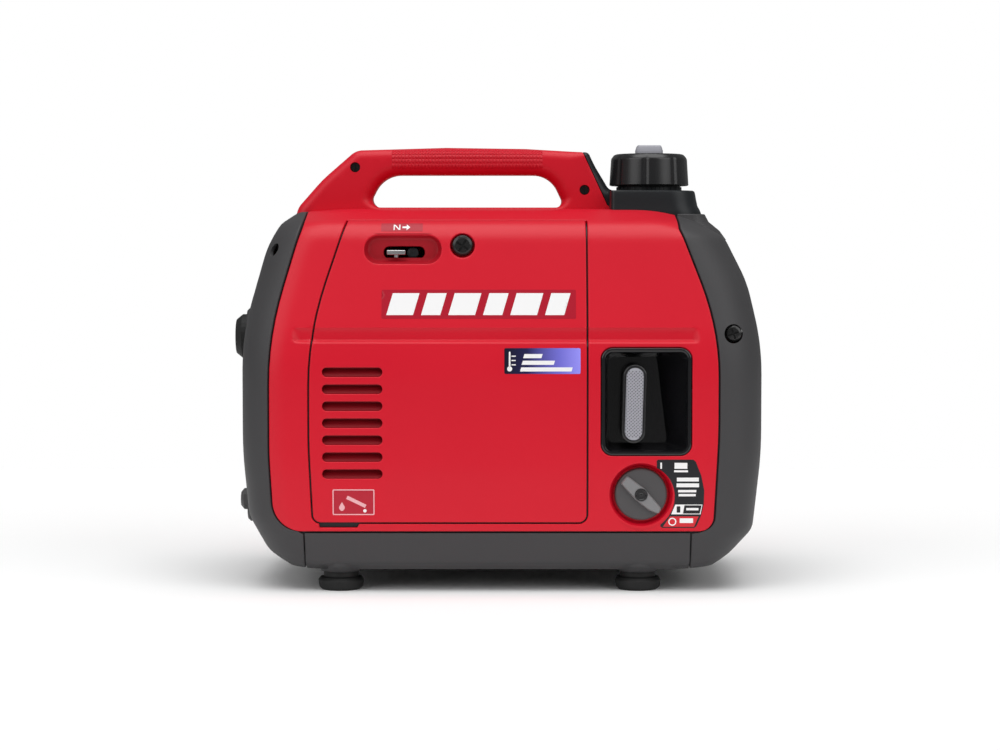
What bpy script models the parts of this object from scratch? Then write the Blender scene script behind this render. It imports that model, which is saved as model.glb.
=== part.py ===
"""A portable inverter generator in a moulded case, at rest.

Units are metres and +Z is up. The control end faces -X, the exhaust end faces +X and the starter side
faces -Y. The origin is on the ground, under the middle of the whole machine. Run with
blender --background --python part.py, or from Blender's text editor.
"""

from math import atan2, ceil, cos, pi, radians, sin, tan

import bmesh
import bpy
from mathutils import Matrix, Vector

# ---------------------------------------------------------------- driving sizes
LENGTH = 0.512
WIDTH = 0.290
HEIGHT = 0.425
WALL = 0.003  # moulded shells
SEAM = 0.001  # gap between neighbouring panels
FIT = 0.0003  # gap between pieces that touch
RUNNING = 0.0006  # gap round pieces that move
WELD = 0.00003  # points nearer than this become one after a cut or a join
CORNER_RADIUS = 0.045  # upright corners of the case, seen from above
CROWN = 0.04  # how much the ends bow out, as a share of the half width

# the case
OUTLET_CAP_PROUD = 0.0116  # how far the round outlet cap stands out of the control end
X_FRONT = -LENGTH / 2 + OUTLET_CAP_PROUD
X_REAR = LENGTH / 2
HALF_WIDTH = WIDTH / 2
Z_FLOOR = 0.021
Z_SILL = 0.0585  # lower edge of the red sides
HANDLE_RISE = 0.060
Z_HANDLE = HEIGHT - 0.003
Z_SHOULDER = Z_HANDLE - HANDLE_RISE
UNDER_COVER_ENDS = 0.064, 0.0725  # from the control end and from the exhaust end

# the carrying handle
HANDLE_HALF_DEPTH = 0.0195
HANDLE_BAR = 0.0268
HANDLE_FRONT = X_FRONT + 0.0494
HANDLE_REAR = 0.114
HANDLE_ROOT = 0.006  # how deep the handle is set into the shoulder
HANDLE_SCREWS = (X_FRONT + 0.1063, Z_HANDLE - 0.0191), (HANDLE_REAR - 0.0272, Z_HANDLE - 0.0412)

# the maintenance cover on the starter side
COVER_REAR = 0.0865
COVER_LIP = 0.095  # how far from the middle plane the cover's top edge runs
COVER_SILL = Z_SILL + 0.007
VENT_COUNT = 7
VENT_PITCH = 0.0159
VENT_LENGTH = 0.0556
VENT_HEIGHT = 0.0072
VENT_X = X_FRONT + 0.1103
VENT_LOWEST = 0.1127
COVER_PULL = 0.10
SCREW_HEAD_RADIUS = 0.0103
SCREW_AT = -0.0315, Z_SHOULDER - 0.036
SCREW_SHANK_RADIUS = 0.0035

# the choke
CHOKE_AT = -0.0875, Z_SHOULDER - 0.0395
CHOKE_POCKET = 0.0726, 0.0270
CHOKE_SLOT = 0.0390, 0.0116
CHOKE_TRAVEL = 0.016
CHOKE_TAB = 0.0170, 0.0055

# the starter
BEZEL_AT = X_REAR - 0.1154, 0.1804
BEZEL_SIZE = 0.085, 0.101
BEZEL_DEPTH = 0.036
GRIP_SIZE = 0.0225, 0.0740
GRIP_AT = BEZEL_AT[0] - 0.0111, BEZEL_AT[1] - 0.0024
GRIP_THICK = 0.020
ROPE_RADIUS = 0.0022
STARTER_PULL = 0.450
REEL_RADIUS = 0.038

# the engine switch
SWITCH_AT = X_REAR - 0.1201, 0.0933
SWITCH_RADIUS = 0.0241
DISH_RADIUS = 0.0295
DISH_DEPTH = 0.011

# the fuel filler
CAP_AT = X_REAR - 0.105
CAP_RADIUS = 0.039
CAP_HEIGHT = 0.0315
LEVER_HEIGHT = 0.0085
NECK_RADIUS = 0.031
NECK_BORE = 0.026
NECK_SHOWN = 0.0055  # between the platform and the cap
PLATFORM_HALF_DEPTH = 0.060
PLATFORM_RISE = HEIGHT - LEVER_HEIGHT - CAP_HEIGHT - NECK_SHOWN - Z_SHOULDER

# the control end
PANEL_RECESS = 0.0170
PANEL_THICK = 0.0025
PANEL_HALF_WIDTH = 0.088
PANEL_BOTTOM = 0.0655
OUTLET_CAP_RADIUS = 0.0218
OUTLET_CAP_AT = -0.006, Z_SHOULDER - 0.1252  # y, z
GROUND_AT = -0.020, 0.077  # y, z
GROUND_RADIUS = 0.0105

# feet
FOOT_RADIUS = 0.0218
FOOT_NECK = 0.0165
FOOT_HEIGHT = 0.0175
FOOT_FROM_FRONT = 0.097
FOOT_FROM_REAR = 0.121
FOOT_FROM_SIDE = 0.040

# the engine and alternator, whose shaft runs across the machine
SHAFT_AT = X_REAR - 0.166, 0.140
SHAFT_RADIUS = 0.010
ROTOR_RADIUS = 0.068
ROTOR_WIDTH = 0.042
CRANKCASE = 0.110, 0.100, 0.118  # x, y, z
CYLINDER_RADIUS = 0.045
CYLINDER_LENGTH = 0.070
CYLINDER_TILT = radians(22)
FIN_COUNT = 5

COLLECTION = "portable_generator"
RED = (0.62, 0.012, 0.03)
GREY = (0.06, 0.06, 0.062)
BLACK = (0.012, 0.012, 0.013)
STEEL = (0.55, 0.55, 0.56)


# ---------------------------------------------------------------- modelling helpers
def clear_scene():
    for obj in list(bpy.data.objects):
        bpy.data.objects.remove(obj, do_unlink=True)


def collection():
    found = bpy.data.collections.get(COLLECTION)
    if found is None:
        found = bpy.data.collections.new(COLLECTION)
        bpy.context.scene.collection.children.link(found)
    return found


def material(name, colour, roughness, metallic=0.0):
    found = bpy.data.materials.get(name)
    if found is None:
        found = bpy.data.materials.new(name)
        found.use_nodes = True
        shader = found.node_tree.nodes["Principled BSDF"]
        shader.inputs["Base Color"].default_value = (*colour, 1.0)
        shader.inputs["Roughness"].default_value = roughness
        shader.inputs["Metallic"].default_value = metallic
    return found


def new_object(name, mesh):
    obj = bpy.data.objects.new(name, mesh)
    collection().objects.link(obj)
    return obj


def copy_of(obj):
    made = obj.copy()
    made.data = obj.data.copy()
    collection().objects.link(made)
    return made


def evaluated_mesh(obj):
    bpy.context.view_layer.update()
    graph = bpy.context.evaluated_depsgraph_get()
    return bpy.data.meshes.new_from_object(obj.evaluated_get(graph))


def tidy(mesh, within=1e-6, turn_out=True):
    """Welds points that nearly meet and, on a solid without hollows, points every face outwards."""
    work = bmesh.new()
    work.from_mesh(mesh)
    bmesh.ops.remove_doubles(work, verts=work.verts, dist=within)
    if turn_out:
        bmesh.ops.recalc_face_normals(work, faces=work.faces)
    work.to_mesh(mesh)
    work.free()
    return mesh


def settle(obj):
    """Turns a curve or a modified object into a plain mesh in world space, and returns that."""
    mesh = evaluated_mesh(obj)
    mesh.transform(obj.matrix_world)
    name = obj.name
    bpy.data.objects.remove(obj)
    return new_object(name, tidy(mesh))


def combine(target, tool, operation):
    modifier = target.modifiers.new(operation.lower(), "BOOLEAN")
    modifier.object = tool
    modifier.operation = operation
    mesh = evaluated_mesh(target)
    target.modifiers.clear()
    target.data = tidy(mesh, WELD, False)
    bpy.data.objects.remove(tool)
    return target


def cut(target, *tools):
    for tool in tools:
        combine(target, tool, "DIFFERENCE")
    return target


def fuse(target, *tools):
    for tool in tools:
        combine(target, tool, "UNION")
    return target


def keep(target, tool):
    return combine(target, tool, "INTERSECT")


def named(obj, name, finish, pivot=None):
    """Names a finished piece, gives it its material and puts its origin on its joint."""
    obj.name = name
    obj.data.name = name
    obj.data.materials.clear()
    obj.data.materials.append(finish)
    if pivot is not None:
        obj.data.transform(Matrix.Translation(-Vector(pivot)))
        obj.location = pivot
    obj.data.shade_smooth()
    obj.data.set_sharp_from_angle(angle=radians(35))
    return obj


def corner_arc(before, corner, after, radius, step):
    """The points of one rounded corner of an outline."""
    to_before = (before - corner).normalized()
    to_after = (after - corner).normalized()
    turn = pi - to_before.angle(to_after)
    if radius <= 0 or turn < 1e-4:
        return [corner]
    longest = 0.49 * min((before - corner).length, (after - corner).length)
    reach = min(radius * tan(turn / 2), longest)
    radius = reach / tan(turn / 2)
    centre = corner + (to_before + to_after).normalized() * radius / cos(turn / 2)
    first = corner + to_before * reach - centre
    side = 1 if to_after.x * to_before.y - to_after.y * to_before.x > 0 else -1
    count = max(1, ceil(turn / step))
    return [centre + first @ Matrix.Rotation(-side * turn * k / count, 2) for k in range(count + 1)]


def rounded(corners, step=radians(18), closed=True):
    """An outline through (u, v, radius) corners, each rounded to its radius."""
    points = [Vector(c[:2]) for c in corners]
    outline = []
    for i, (u, v, radius) in enumerate(corners):
        if not closed and i in (0, len(corners) - 1):
            outline.append(points[i])
            continue
        after = points[(i + 1) % len(points)]
        outline += corner_arc(points[i - 1], points[i], after, radius, step)
    return outline


def grown(outline, distance):
    """The outline moved outwards by a distance, or inwards where it is negative."""
    count = len(outline)
    area = sum(outline[i - 1].cross(outline[i]) for i in range(count))
    side = 1 if area > 0 else -1
    moved = []
    for i, point in enumerate(outline):
        back = (point - outline[i - 1]).normalized()
        on = (outline[(i + 1) % count] - point).normalized()
        normals = Vector((back.y, -back.x)) * side, Vector((on.y, -on.x)) * side
        both = normals[0] + normals[1]
        moved.append(point + both * distance / (1 + normals[0].dot(normals[1])))
    return moved


def box_outline(low, high, radius=0.0):
    return rounded([(low[0], low[1], radius), (high[0], low[1], radius), (*high, radius), (low[0], high[1], radius)])


def stadium(centre, length, height):
    half, radius = length / 2, height / 2
    low = centre[0] - half, centre[1] - radius
    high = centre[0] + half, centre[1] + radius
    return box_outline(low, high, radius * 0.9)


def placed_along(axis, middle):
    """Carries a shape drawn in XY and raised along Z onto a world axis."""
    if axis == "X":
        turn = Matrix(((0, 0, 1, 0), (1, 0, 0, 0), (0, 1, 0, 0), (0, 0, 0, 1)))
        return Matrix.Translation((middle, 0, 0)) @ turn
    if axis == "Y":
        turn = Matrix(((1, 0, 0, 0), (0, 0, -1, 0), (0, 1, 0, 0), (0, 0, 0, 1)))
        return Matrix.Translation((0, middle, 0)) @ turn
    return Matrix.Translation((0, 0, middle))


def prism(outlines, axis, low, high):
    """A flat outline, or nested outlines, raised along a world axis from low to high."""
    curve = bpy.data.curves.new("prism", "CURVE")
    curve.dimensions = "2D"
    curve.fill_mode = "BOTH"
    curve.extrude = abs(high - low) / 2
    for outline in outlines:
        spline = curve.splines.new("POLY")
        spline.points.add(len(outline) - 1)
        for point, (u, v) in zip(spline.points, outline):
            point.co = (u, v, 0, 1)
        spline.use_cyclic_u = True
    obj = new_object("prism", curve)
    obj.matrix_world = placed_along(axis, (low + high) / 2)
    return settle(obj)


def box(low, high):
    work = bmesh.new()
    bmesh.ops.create_cube(work, size=1.0)
    size = Vector(high) - Vector(low)
    middle = (Vector(high) + Vector(low)) / 2
    bmesh.ops.transform(work, matrix=Matrix.LocRotScale(middle, None, size), verts=work.verts)
    mesh = bpy.data.meshes.new("box")
    work.to_mesh(mesh)
    work.free()
    return new_object("box", mesh)


def soft_box(low, high, radius, segments=2):
    obj = box(low, high)
    bevel = obj.modifiers.new("bevel", "BEVEL")
    bevel.width = radius
    bevel.segments = segments
    return settle(obj)


def along(axis, across, station):
    """A point on a world axis line: across is its other two coordinates, in X, Y, Z order."""
    if axis == "X":
        return Vector((station, *across))
    if axis == "Y":
        return Vector((across[0], station, across[1]))
    return Vector((*across, station))


def cone(axis, across, low, high, low_radius, high_radius, segments=20):
    work = bmesh.new()
    bmesh.ops.create_cone(
        work, cap_ends=True, segments=segments, radius1=low_radius, radius2=high_radius, depth=high - low
    )
    direction = along(axis, (0, 0), 1)
    turn = direction.to_track_quat("Z", "Y").to_matrix().to_4x4()
    middle = along(axis, across, (low + high) / 2)
    bmesh.ops.transform(work, matrix=Matrix.Translation(middle) @ turn, verts=work.verts)
    mesh = bpy.data.meshes.new("cone")
    work.to_mesh(mesh)
    work.free()
    return new_object("cone", mesh)


def cylinder(axis, across, low, high, radius, segments=20):
    return cone(axis, across, low, high, radius, radius, segments)


def turned(profile, axis, across, segments=24):
    """A closed (radius, station) profile turned about a world axis line, by a Screw modifier."""
    mesh = bpy.data.meshes.new("turned")
    points = [(radius, 0, station) for radius, station in profile]
    pairs = [(i, (i + 1) % len(points)) for i in range(len(points))]
    edges = [pair for pair in pairs if points[pair[0]][0] > 0 or points[pair[1]][0] > 0]
    mesh.from_pydata(points, edges, [])
    obj = new_object("turned", mesh)
    screw = obj.modifiers.new("turn", "SCREW")
    screw.steps = segments
    screw.render_steps = segments
    screw.use_merge_vertices = True
    screw.merge_threshold = 1e-5
    direction = along(axis, (0, 0), 1)
    turn = direction.to_track_quat("Z", "Y").to_matrix().to_4x4()
    obj.matrix_world = Matrix.Translation(along(axis, across, 0)) @ turn
    return settle(obj)


def stepped(axis, across, steps, segments=16):
    """One cutter for a counterbore: (radius, from, to) steps in a row, widest first."""
    profile = [(0, steps[0][1])]
    for radius, start, end in steps:
        profile += [(radius, start), (radius, end)]
    profile.append((0, steps[-1][2]))
    return turned(profile, axis, across, segments)


def tube(points, radius, resolution=2):
    curve = bpy.data.curves.new("tube", "CURVE")
    curve.dimensions = "3D"
    curve.bevel_depth = radius
    curve.bevel_resolution = resolution
    curve.use_fill_caps = True
    spline = curve.splines.new("POLY")
    spline.points.add(len(points) - 1)
    for point, place in zip(spline.points, points):
        point.co = (*place, 1)
    return settle(new_object("tube", curve))


# ---------------------------------------------------------------- the shape of the case
def front_profile():
    """(x, z) up the control end."""
    return rounded(
        [
            (X_FRONT + 0.0440, Z_FLOOR, 0),
            (X_FRONT + 0.0234, Z_FLOOR + 0.0155, 0.030),
            (X_FRONT + 0.0054, Z_FLOOR + 0.0490, 0.030),
            (X_FRONT - 0.0004, Z_FLOOR + 0.110, 0.40),
            (X_FRONT - 0.0004, Z_SHOULDER - 0.120, 0.25),
            (X_FRONT + 0.0224, Z_SHOULDER - 0.037, 0.12),
            (X_FRONT + 0.0349, Z_SHOULDER - 0.015, 0.020),
            (X_FRONT + 0.0504, Z_SHOULDER - 0.0035, 0.010),
            (X_FRONT + 0.0944, Z_SHOULDER, 0),
        ],
        closed=False,
    )


def rear_profile():
    """(x, z) up the exhaust end."""
    return rounded(
        [
            (X_REAR - 0.0440, Z_FLOOR, 0),
            (X_REAR - 0.0280, Z_FLOOR + 0.0130, 0.030),
            (X_REAR - 0.0075, Z_FLOOR + 0.0360, 0.018),
            (X_REAR + 0.0004, Z_FLOOR + 0.109, 0.40),
            (X_REAR + 0.0004, Z_SHOULDER - 0.130, 0.25),
            (X_REAR - 0.0128, Z_SHOULDER - 0.071, 0.12),
            (X_REAR - 0.0340, Z_SHOULDER - 0.028, 0.016),
            (X_REAR - 0.0840, Z_SHOULDER, 0),
        ],
        closed=False,
    )


def side_profile():
    """(half width, z) up the starter side."""
    return rounded(
        [
            (HALF_WIDTH - 0.020, Z_FLOOR, 0),
            (HALF_WIDTH - 0.011, Z_FLOOR + 0.007, 0.008),
            (HALF_WIDTH - 0.003, Z_SILL, 0.05),
            (HALF_WIDTH, Z_FLOOR + 0.094, 0.3),
            (HALF_WIDTH, Z_SHOULDER - 0.137, 0.22),
            (HALF_WIDTH - 0.033, Z_SHOULDER - 0.017, 0.028),
            (HALF_WIDTH - 0.083, Z_SHOULDER - 0.0012, 0.060),
            (0.020, Z_SHOULDER, 0),
        ],
        step=radians(14),
        closed=False,
    )


def across_at(profile, height):
    """A profile's first coordinate at a height."""
    for low, high in zip(profile, profile[1:]):
        if low.y <= height <= high.y:
            share = (height - low.y) / max(high.y - low.y, 1e-9)
            return low.x + (high.x - low.x) * share
    return profile[0].x if height < profile[0].y else profile[-1].x


def plan_outline(front, rear, side, inset=0.0):
    """The case seen from above at one height: crowned ends and rounded upright corners."""
    radius = min(CORNER_RADIUS, side * 0.8) - inset
    bow = side * CROWN
    corners = [
        (front, 0, 0.5), (front + bow, -side, radius), (rear - bow, -side, radius),
        (rear, 0, 0.5), (rear - bow, side, radius), (front + bow, side, radius),
    ]
    return rounded(corners, step=radians(22.5))


def side_at(x, z):
    """How far the side stands from the middle plane at a place, with the upright corners allowed for."""
    front, rear, side = (across_at(profile, z) for profile in (front_profile(), rear_profile(), side_profile()))
    outline = plan_outline(front, rear, side)
    found = 0.0
    for i, point in enumerate(outline):
        last = outline[i - 1]
        if min(last.x, point.x) <= x <= max(last.x, point.x) and point.x != last.x:
            share = (x - last.x) / (point.x - last.x)
            found = max(found, last.y + (point.y - last.y) * share)
    return found


def case_block(inset):
    """The case as one closed block, lofted up through rounded rectangles, inset from its outer skin."""
    profiles = front_profile(), rear_profile(), side_profile()
    levels = sorted(point.y for profile in profiles for point in profile)
    levels = [z for i, z in enumerate(levels) if i == 0 or z - levels[i - 1] > 0.0011]
    levels[-1] = Z_SHOULDER
    span = Z_SHOULDER - Z_FLOOR
    work = bmesh.new()
    rings = []
    for z in levels:
        front, rear, side = (across_at(profile, z) for profile in profiles)
        outline = plan_outline(front + inset, rear - inset, side - inset, inset)
        height = Z_FLOOR + inset + (z - Z_FLOOR) * (span - 2 * inset) / span
        rings.append([work.verts.new((u, v, height)) for u, v in outline])
    for lower, upper in zip(rings, rings[1:]):
        for i in range(len(lower)):
            work.faces.new((lower[i - 1], lower[i], upper[i], upper[i - 1]))
    work.faces.new(list(reversed(rings[0])))
    work.faces.new(rings[-1])
    mesh = bpy.data.meshes.new("case_block")
    work.to_mesh(mesh)
    work.free()
    return new_object("case_block", tidy(mesh))


def case_shell():
    return cut(case_block(0), case_block(WALL))


def side_surface(height):
    """How far the side stands from the middle plane at a height."""
    return across_at(side_profile(), height)


def red_region():
    """The red sides' outline, seen from the side."""
    return rounded(
        [
            (X_FRONT + 0.0625, Z_SHOULDER + 0.02, 0),
            (X_FRONT + 0.0625, Z_SHOULDER - 0.012, 0.030),
            (X_FRONT + 0.0321, Z_SHOULDER - 0.119, 0.34),
            (X_FRONT + 0.0321, Z_SILL + 0.0715, 0.30),
            (X_FRONT + 0.0360, Z_SILL, 0.028),
            (X_REAR - 0.0525, Z_SILL, 0.014),
            (X_REAR - 0.0480, Z_SILL + 0.0915, 0.40),
            (X_REAR - 0.0480, Z_SHOULDER - 0.113, 0.25),
            (X_REAR - 0.0830, Z_SHOULDER - 0.019, 0.010),
            (X_REAR - 0.0835, Z_SHOULDER + 0.02, 0),
        ],
        step=radians(12),
    )


def cover_region():
    """The maintenance cover's outline, seen from the side. Its top edge runs along COVER_LIP."""
    top = Z_SHOULDER + 0.02
    return rounded(
        [
            (X_FRONT + 0.1130, top, 0),
            (X_FRONT + 0.0685, Z_SHOULDER - 0.117, 0.34),
            (X_FRONT + 0.0685, COVER_SILL + 0.0745, 0.30),
            (X_FRONT + 0.0720, COVER_SILL, 0.009),
            (COVER_REAR, COVER_SILL, 0.009),
            (COVER_REAR, top, 0),
        ],
        step=radians(12),
    )


def end_slots(count, pitch, lowest, length, height, middle=0.0):
    return [stadium((middle, lowest + k * pitch), length, height) for k in range(count)]


# ---------------------------------------------------------------- the case pieces
def handle_outlines():
    outer = rounded(
        [
            (HANDLE_FRONT - HANDLE_ROOT, Z_SHOULDER - HANDLE_ROOT, 0),
            (HANDLE_REAR, Z_SHOULDER - HANDLE_ROOT, 0),
            (HANDLE_REAR - 0.0065, Z_SHOULDER + 0.004, 0.006),
            (HANDLE_REAR - 0.0295, Z_HANDLE - 0.0045, 0.003),
            (-0.010, Z_HANDLE + 0.0012, 0.9),
            (X_FRONT + 0.1069, Z_HANDLE - 0.0025, 0.018),
        ]
    )
    top = Z_HANDLE - HANDLE_BAR
    bottom = Z_SHOULDER + 0.0015
    opening = rounded(
        [
            (X_FRONT + 0.1344, top, 0.028),
            (X_FRONT + 0.1179, bottom, 0.008),
            (HANDLE_REAR - 0.0460, bottom, 0.006),
            (HANDLE_REAR - 0.0610, top, 0.026),
        ]
    )
    return [outer, opening]


def neck_hole():
    return cylinder("Z", (CAP_AT, 0), Z_SHOULDER - 0.03, HEIGHT, NECK_RADIUS + RUNNING * 2, 24)


def side_cover(side):
    """One red side with its half of the handle. side is -1 for the starter side and 1 for the far side."""
    handle = prism(handle_outlines(), "Y", -HANDLE_HALF_DEPTH, HANDLE_HALF_DEPTH)
    for place in HANDLE_SCREWS:
        head = 0.0048, -HANDLE_HALF_DEPTH - 0.01, -0.010
        cut(handle, stepped("Y", place, [head, (0.0026, -0.010, 0.010)]))
    shell = keep(case_shell(), prism([red_region()], "Y", -WIDTH, WIDTH))
    fuse(shell, handle)
    cut(shell, neck_hole())
    low, high = sorted((side * SEAM / 2, side * WIDTH))
    return keep(shell, box((-LENGTH, low, 0), (LENGTH, high, HEIGHT * 2)))


def left_side_cover(finish):
    cover = side_cover(-1)
    cut(cover, prism([cover_region()], "Y", -WIDTH, -COVER_LIP))
    notch = X_FRONT + 0.081, COVER_SILL - 0.0035
    cut(cover, prism([box_outline(notch, (notch[0] + 0.034, COVER_SILL + 0.001))], "Y", -WIDTH, -0.1))
    low, high = bezel_corners()
    cut(cover, prism([grown(box_outline(low, high, 0.011), SEAM / 2)], "Y", -WIDTH, -HALF_WIDTH + 0.03))
    back = -HALF_WIDTH + DISH_DEPTH
    fuse(cover, cylinder("Y", SWITCH_AT, -HALF_WIDTH + 0.0008, back + WALL, DISH_RADIUS + WALL, 32))
    cut(cover, stepped("Y", SWITCH_AT, [(DISH_RADIUS, -WIDTH, back), (0.0056, back, back + 0.01)], 32))
    bracket_low = SCREW_AT[0] - 0.011, -COVER_LIP + SEAM, SCREW_AT[1] - 0.010
    bracket_high = SCREW_AT[0] + 0.011, -COVER_LIP + 0.010, Z_SHOULDER
    bracket = keep(box(bracket_low, bracket_high), case_block(WALL / 2))
    fuse(cover, bracket)
    cut(cover, cylinder("Y", SCREW_AT, -COVER_LIP - 0.01, -COVER_LIP + 0.02, SCREW_SHANK_RADIUS + RUNNING, 12))
    return named(cover, "left_side_cover", finish)


def right_side_cover(finish):
    cover = side_cover(1)
    slots = end_slots(VENT_COUNT, VENT_PITCH, VENT_LOWEST, VENT_LENGTH, VENT_HEIGHT, VENT_X)
    for outline in slots:
        cut(cover, prism([outline], "Y", 0.1, WIDTH))
    return named(cover, "right_side_cover", finish)


def maintenance_cover(finish):
    region = grown(cover_region(), -SEAM)
    cover = keep(case_shell(), prism([region], "Y", -WIDTH, -COVER_LIP - SEAM))
    wall = -side_surface(CHOKE_AT[1])
    pocket = prism([stadium(CHOKE_AT, CHOKE_POCKET[0] + 2 * WALL, CHOKE_POCKET[1] + 2 * WALL)], "Y",
                   wall - 0.02, wall + 0.0115)
    seat_wall = -side_surface(SCREW_AT[1])
    seat = cylinder("Y", SCREW_AT, seat_wall - 0.02, seat_wall + 0.0095, SCREW_HEAD_RADIUS + 0.0035, 20)
    for lump in (pocket, seat):
        fuse(cover, keep(lump, case_block(0)))
    cut(cover, prism([stadium(CHOKE_AT, *CHOKE_POCKET)], "Y", -WIDTH, wall + 0.0090))
    slot_at = CHOKE_AT[0] + 0.001, CHOKE_AT[1] - 0.003
    cut(cover, prism([stadium(slot_at, *CHOKE_SLOT)], "Y", -WIDTH, wall + 0.02))
    floor = seat_wall + 0.0065
    steps = (SCREW_HEAD_RADIUS + 0.0012, -WIDTH, floor), (SCREW_SHANK_RADIUS + RUNNING, floor, -COVER_LIP)
    cut(cover, stepped("Y", SCREW_AT, steps, 20))
    for outline in end_slots(VENT_COUNT, VENT_PITCH, VENT_LOWEST, VENT_LENGTH, VENT_HEIGHT, VENT_X):
        cut(cover, prism([outline], "Y", -WIDTH, -0.1))
    return named(cover, "maintenance_cover", finish, (0, -HALF_WIDTH, Z_SILL))


def end_cover(region):
    """A grey end of the case: what is left of the shell outside the red sides, kept inside a side-view region."""
    cover = keep(case_shell(), prism([region], "Y", -WIDTH, WIDTH))
    return cut(cover, prism([grown(red_region(), SEAM)], "Y", -WIDTH, WIDTH))


def panel_opening():
    return box_outline((-PANEL_HALF_WIDTH, PANEL_BOTTOM), (PANEL_HALF_WIDTH, Z_SHOULDER - 0.098), 0.014)


def end_screw_places():
    """(name, point on the case's skin, direction the head faces, head radius, head depth) of four screws."""
    places = []
    for side, hand in ((-1, "left"), (1, "right")):
        z = Z_SHOULDER - 0.040
        front, half = across_at(front_profile(), z), across_at(side_profile(), z)
        angle = radians(55)
        facing = Vector((-sin(angle), side * cos(angle), 0))
        centre = Vector((front + half * CROWN + CORNER_RADIUS, side * (half - CORNER_RADIUS), z))
        places.append((f"front_cover_screw_{hand}", centre + facing * CORNER_RADIUS, facing, 0.0062, 0.009))
    for side, hand in ((-1, "left"), (1, "right")):
        x, z = X_REAR - 0.0335, Z_SHOULDER - 0.1184
        facing = Vector((0, side, 0))
        places.append((f"rear_cover_screw_{hand}", Vector((x, side * side_at(x, z), z)), facing, 0.0090, 0.0060))
    return places


def on_skin(point, facing, near, far, radius, segments=16):
    """A cylinder along a screw's axis, from near to far below the skin."""
    work = bmesh.new()
    bmesh.ops.create_cone(
        work, cap_ends=True, segments=segments, radius1=radius, radius2=radius, depth=abs(far - near)
    )
    turn = facing.to_track_quat("Z", "Y").to_matrix().to_4x4()
    middle = point - facing * (near + far) / 2
    bmesh.ops.transform(work, matrix=Matrix.Translation(middle) @ turn, verts=work.verts)
    mesh = bpy.data.meshes.new("pin")
    work.to_mesh(mesh)
    work.free()
    return new_object("pin", mesh)


def end_screw_seats(cover, end):
    """A counterbore with a floor for each screw head in one end of the case."""
    for name, point, facing, radius, depth in end_screw_places():
        if name.startswith(end):
            fuse(cover, keep(on_skin(point, facing, -0.01, depth + WALL, radius + WALL), case_block(WALL / 3)))
            cut(cover, on_skin(point, facing, -0.02, depth, radius))
    return cover


def front_cover(finish):
    seam_x = X_FRONT + UNDER_COVER_ENDS[0]
    region = [Vector(p) for p in ((-LENGTH, 0), (seam_x, 0), (seam_x, HEIGHT), (-LENGTH, HEIGHT))]
    cover = end_cover(region)
    face = X_FRONT + PANEL_RECESS - FIT
    frame = prism([grown(panel_opening(), WALL)], "X", X_FRONT - 0.01, face)
    fuse(cover, keep(frame, case_block(0)))
    cut(cover, prism([panel_opening()], "X", X_FRONT - 0.02, face + 0.005))
    reach = HANDLE_HALF_DEPTH + SEAM
    cut(cover, prism([grown(handle_outlines()[0], SEAM)], "Y", -reach, reach))
    end_screw_seats(cover, "front")
    return named(cover, "front_cover", finish)


def rear_cover(finish):
    seam_x = X_REAR - UNDER_COVER_ENDS[1]
    top_x = X_REAR - 0.0825
    corners = (seam_x, 0), (LENGTH, 0), (LENGTH, HEIGHT), (top_x, HEIGHT), (top_x, Z_SHOULDER / 2)
    region = [Vector(p) for p in (*corners, (seam_x, Z_SHOULDER / 2))]
    cover = end_cover(region)
    for outline in end_slots(LOUVRE_COUNT, LOUVRE_PITCH, LOUVRE_LOWEST, LOUVRE_LENGTH, LOUVRE_HEIGHT):
        cut(cover, prism([outline], "X", X_REAR - 0.04, X_REAR + 0.02))
    cut(cover, cylinder("X", EXHAUST_AT, X_REAR - 0.04, X_REAR + 0.02, EXHAUST_HOLE, 24))
    cut(cover, neck_hole())
    end_screw_seats(cover, "rear")
    return named(cover, "rear_cover", finish)


def foot_places():
    xs = ("front", X_FRONT + FOOT_FROM_FRONT), ("rear", X_REAR - FOOT_FROM_REAR)
    ys = ("left", -HALF_WIDTH + FOOT_FROM_SIDE), ("right", HALF_WIDTH - FOOT_FROM_SIDE)
    return [(f"foot_{end}_{hand}", x, y) for end, x in xs for hand, y in ys]


def under_cover(finish):
    low = X_FRONT + UNDER_COVER_ENDS[0] + SEAM
    high = X_REAR - UNDER_COVER_ENDS[1] - SEAM
    cover = case_shell()
    keep(cover, box((low, -WIDTH, 0), (high, WIDTH, Z_SILL - SEAM)))
    for _, x, y in foot_places():
        fuse(cover, cone("Z", (x, y), FOOT_HEIGHT + FIT, Z_FLOOR + 0.010, FOOT_NECK + 0.0015, FOOT_NECK + 0.004, 20))
    return named(cover, "under_cover", finish)


def foot(name, x, y, finish):
    radius, height = FOOT_RADIUS, FOOT_HEIGHT
    profile = [
        (0, 0), (radius * 0.88, 0), (radius, 0.003), (radius, 0.0085), (radius * 0.93, 0.0115),
        (FOOT_NECK, 0.0125), (FOOT_NECK, height), (0, height),
    ]
    return named(turned(profile, "Z", (x, y), 20), name, finish)


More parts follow.
